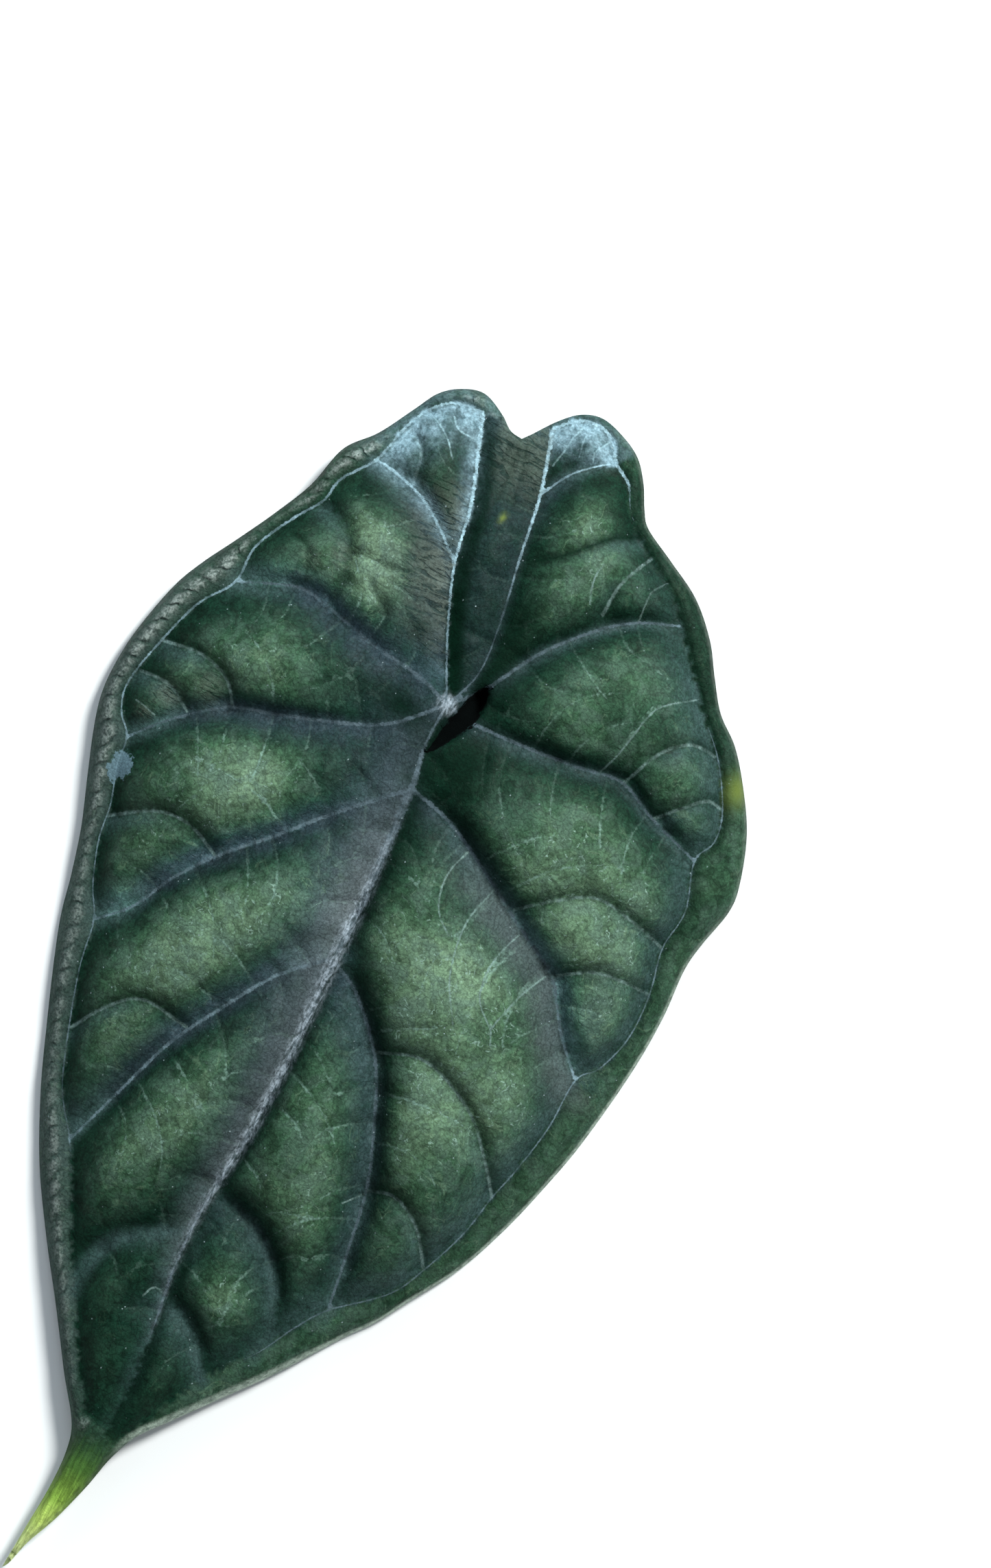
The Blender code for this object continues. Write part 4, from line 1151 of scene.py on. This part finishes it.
def write_attributes(mesh, field):
    x, y = field.x, field.y
    margin_wilt = 0.95 * spot(field, *MARGIN_WILT) * ~field.in_field
    values = {
        "glow": glow(field),
        "slate_and_sheen": slate_and_sheen(field),
        "band": loop_bands(field),
        "margin": ~field.in_field * ramp(6, -4, x) * ramp(30, -30, y),
        "flank": lit_flank_sheen(field),
        "teal": np.maximum.reduce([ramp(-85, -130, y), ramp(14, 5, field.border),
                                   0.6 * ramp(3, 12, x)]),
        "shade": shade(field),
        "cord": cord_distance(field),
        "pale_cord": pale_cord(field),
        "scale": vein_distance([(field.scales, SCALE_CORD), (field.fine, FINE_CORD)]),
        "lift": lift(field),
        "veinlet": np.where(field.in_field, field.veinlet, FAR),
        "ridge": ridge(field),
        "crinkle": crinkle(field),
        "crest": crest(field),
        "rim_highlight": (x > 4) * (0.10 + 0.90 * ramp(10, -60, y)) * ramp(-158, -146, y),
        "bloom_and_sky_sheen": bloom_and_sky_sheen(field),
        "patch": np.minimum(FAR, np.hypot((x - PATCH[0]) / PATCH[2], (y - PATCH[1]) / PATCH[3])),
        "wilt": np.maximum(margin_wilt, spot(field, *CHANNEL_WILT)),
        "tip": ramp(-147, -184, y),
        "slit": np.minimum(FAR, field.slit()),
        "edge": field.edge,
        "rim_edge": field.edge / (1 + 1.3 * ramp(-108, -130, y) * ramp(-160, -150, y)),
        "run": field.run,
    }
    for name, value in values.items():
        made = mesh.attributes.new(name, "FLOAT", "POINT")
        made.data.foreach_set("value", np.asarray(value, np.float32))


def add_object(name, data):
    made = bpy.data.objects.new(name, data)
    bpy.context.scene.collection.objects.link(made)
    return made


def worked_out(thing):
    """A new mesh of an object, with its modifiers or its bevel worked out."""
    graph = bpy.context.evaluated_depsgraph_get()
    return bpy.data.meshes.new_from_object(thing.evaluated_get(graph), depsgraph=graph)


def make_blade(centre):
    layout = Layout(MESH_STEP)
    veinlets = [grow_veinlets(layout, MESH_STEP, *kind) for kind in (VEINLETS, PLEATS)]
    points, faces = plan_mesh(layout, veinlets, MESH_STEP)
    field = Field(points, layout, veinlets)
    heights = blade_height(field) + fine_relief(field)
    depths = rib_depth(field)
    thickest = BLADE_THICKNESS + depths.max()

    mesh = bpy.data.meshes.new("leaf_blade")
    places = np.column_stack([points - centre, heights]) * MM
    mesh.from_pydata(places.tolist(), [], faces)
    write_attributes(mesh, field)
    shell = bmesh.new()
    shell.from_mesh(mesh)
    bmesh.ops.recalc_face_normals(shell, faces=shell.faces)
    if sum(face.normal.z for face in shell.faces) < 0:
        bmesh.ops.reverse_faces(shell, faces=shell.faces)
    shell.to_mesh(mesh)
    shell.free()

    blade = add_object("leaf_blade", mesh)
    for material in (upper_material(), under_material()):
        mesh.materials.append(material)
    group = blade.vertex_groups.new(name="thickness")
    for index, depth in enumerate(depths):
        group.add([index], (BLADE_THICKNESS + depth) / thickest, "REPLACE")
    solidify = blade.modifiers.new("lamina_and_ribs", "SOLIDIFY")
    solidify.thickness = thickest * MM
    solidify.offset = -1
    solidify.vertex_group = "thickness"
    solidify.thickness_vertex_group = 0
    solidify.material_offset = 1
    solid = worked_out(blade)
    blade.modifiers.clear()
    blade.data = solid
    settle(solid)
    solid.shade_smooth()
    return blade


def make_stalk(centre, blade):
    root = np.array(MIDRIB[0]) - centre
    top = min(v.co.z / MM for v in blade.data.vertices
              if math.hypot(v.co.x / MM - root[0], v.co.y / MM - root[1]) < STALK_RADIUS)
    curve = bpy.data.curves.new("leaf_stalk", "CURVE")
    curve.dimensions = "3D"
    curve.bevel_depth = STALK_RADIUS * MM
    curve.bevel_resolution = 12
    curve.use_fill_caps = True
    curve.resolution_u = 16
    line = curve.splines.new("BEZIER")
    line.bezier_points.add(len(STALK_PATH) - 1)
    knots = zip(line.bezier_points, STALK_PATH, STALK_DROPS, STALK_SWELLS)
    for point, (x, y), drop, swell in knots:
        rest = STALK_RADIUS * swell - STALK_FLAT_DEPTH
        point.co = ((x - centre[0]) * MM, (y - centre[1]) * MM, (top + (rest - top) * drop) * MM)
        point.handle_left_type = point.handle_right_type = "AUTO"
        point.radius = swell
    first = line.bezier_points[0]
    first.handle_left_type = first.handle_right_type = "FREE"
    first.handle_left = first.co + Vector((0, 0, 1)) * MM
    first.handle_right = first.co - Vector((0, 0, 1)) * MM
    tube = add_object("stalk_tube", curve)
    mesh = worked_out(tube)
    bpy.data.objects.remove(tube)
    solid = bmesh.new()
    solid.from_mesh(mesh)
    bmesh.ops.remove_doubles(solid, verts=solid.verts, dist=0.01 * MM)
    bmesh.ops.recalc_face_normals(solid, faces=solid.faces)
    for face in solid.faces:
        is_cap = len(face.verts) > 4
        face.smooth = not is_cap
        face.material_index = int(is_cap and face.normal.y > 0.5)
    for vertex in solid.verts:
        vertex.co.z = max(vertex.co.z, 0)
    solid.to_mesh(mesh)
    solid.free()
    mesh.materials.clear()
    for material in (stalk_material(), cut_material()):
        mesh.materials.append(material)
    return add_object("leaf_stalk", mesh)


def picture_direction(right, up):
    """A direction in plan from one given in the picture."""
    cosine, sine = math.cos(PICTURE_LEAN), math.sin(PICTURE_LEAN)
    return Vector((right * cosine - up * sine, right * sine + up * cosine, 0))


def add_lamp(name, right, up, height, size, power, colour):
    lamp = bpy.data.lights.new(name, "AREA")
    lamp.shape = "DISK"
    lamp.size = size
    lamp.energy = power
    lamp.color = colour
    made = add_object(name, lamp)
    made.location = picture_direction(right, up) + Vector((0, 0, height))
    made.rotation_euler = (-made.location).to_track_quat("-Z", "Y").to_euler()


def make_camera(centre):
    data = bpy.data.cameras.new("camera")
    data.sensor_fit = "VERTICAL"
    data.sensor_height = 36
    data.lens = data.sensor_height * CAMERA_HEIGHT / (PICTURE_HEIGHT * MM_PER_PIXEL * MM)
    data.clip_end = 20
    camera = add_object("camera", data)
    x, y = (np.array(PICTURE_CENTRE) - centre) * MM
    camera.matrix_world = (Matrix.Translation((x, y, CAMERA_HEIGHT))
                           @ Matrix.Rotation(PICTURE_LEAN, 4, "Z"))
    bpy.context.scene.camera = camera


def make_studio():
    world = bpy.data.worlds.new("soft_room")
    bpy.context.scene.world = world
    world.use_nodes = True
    nodes, links = world.node_tree.nodes, world.node_tree.links
    background = nodes["Background"]
    background.inputs["Color"].default_value = ROOM_COLOUR
    heading = nodes.new("ShaderNodeSeparateXYZ")
    dome = nodes.new("ShaderNodeMapRange")
    dome.interpolation_type = "SMOOTHSTEP"
    for socket, value in zip(dome.inputs[1:5], (*ROOM_HEIGHTS, *ROOM_STRENGTHS)):
        socket.default_value = value
    links.new(nodes.new("ShaderNodeTexCoord").outputs["Generated"], heading.inputs[0])
    links.new(heading.outputs["Z"], dome.inputs[0])
    links.new(dome.outputs[0], background.inputs["Strength"])
    for lamp in LAMPS:
        add_lamp(*lamp)
    bpy.ops.mesh.primitive_plane_add(size=FLOOR_SIZE)
    floor = bpy.context.object
    floor.name = "floor"
    floor.data.materials.append(floor_material())
    bpy.context.scene.view_settings.view_transform = "Standard"


def main():
    edge = Layout(PACKED_STEP).edge
    centre = (edge.min(axis=0) + edge.max(axis=0)) / 2
    blade = make_blade(centre)
    stalk = make_stalk(centre, blade)
    for piece, node in ((blade, "blade"), (stalk, "petiole")):
        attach(piece, "root")
        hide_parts(node)
    make_camera(centre)
    make_studio()
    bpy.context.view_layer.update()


main()
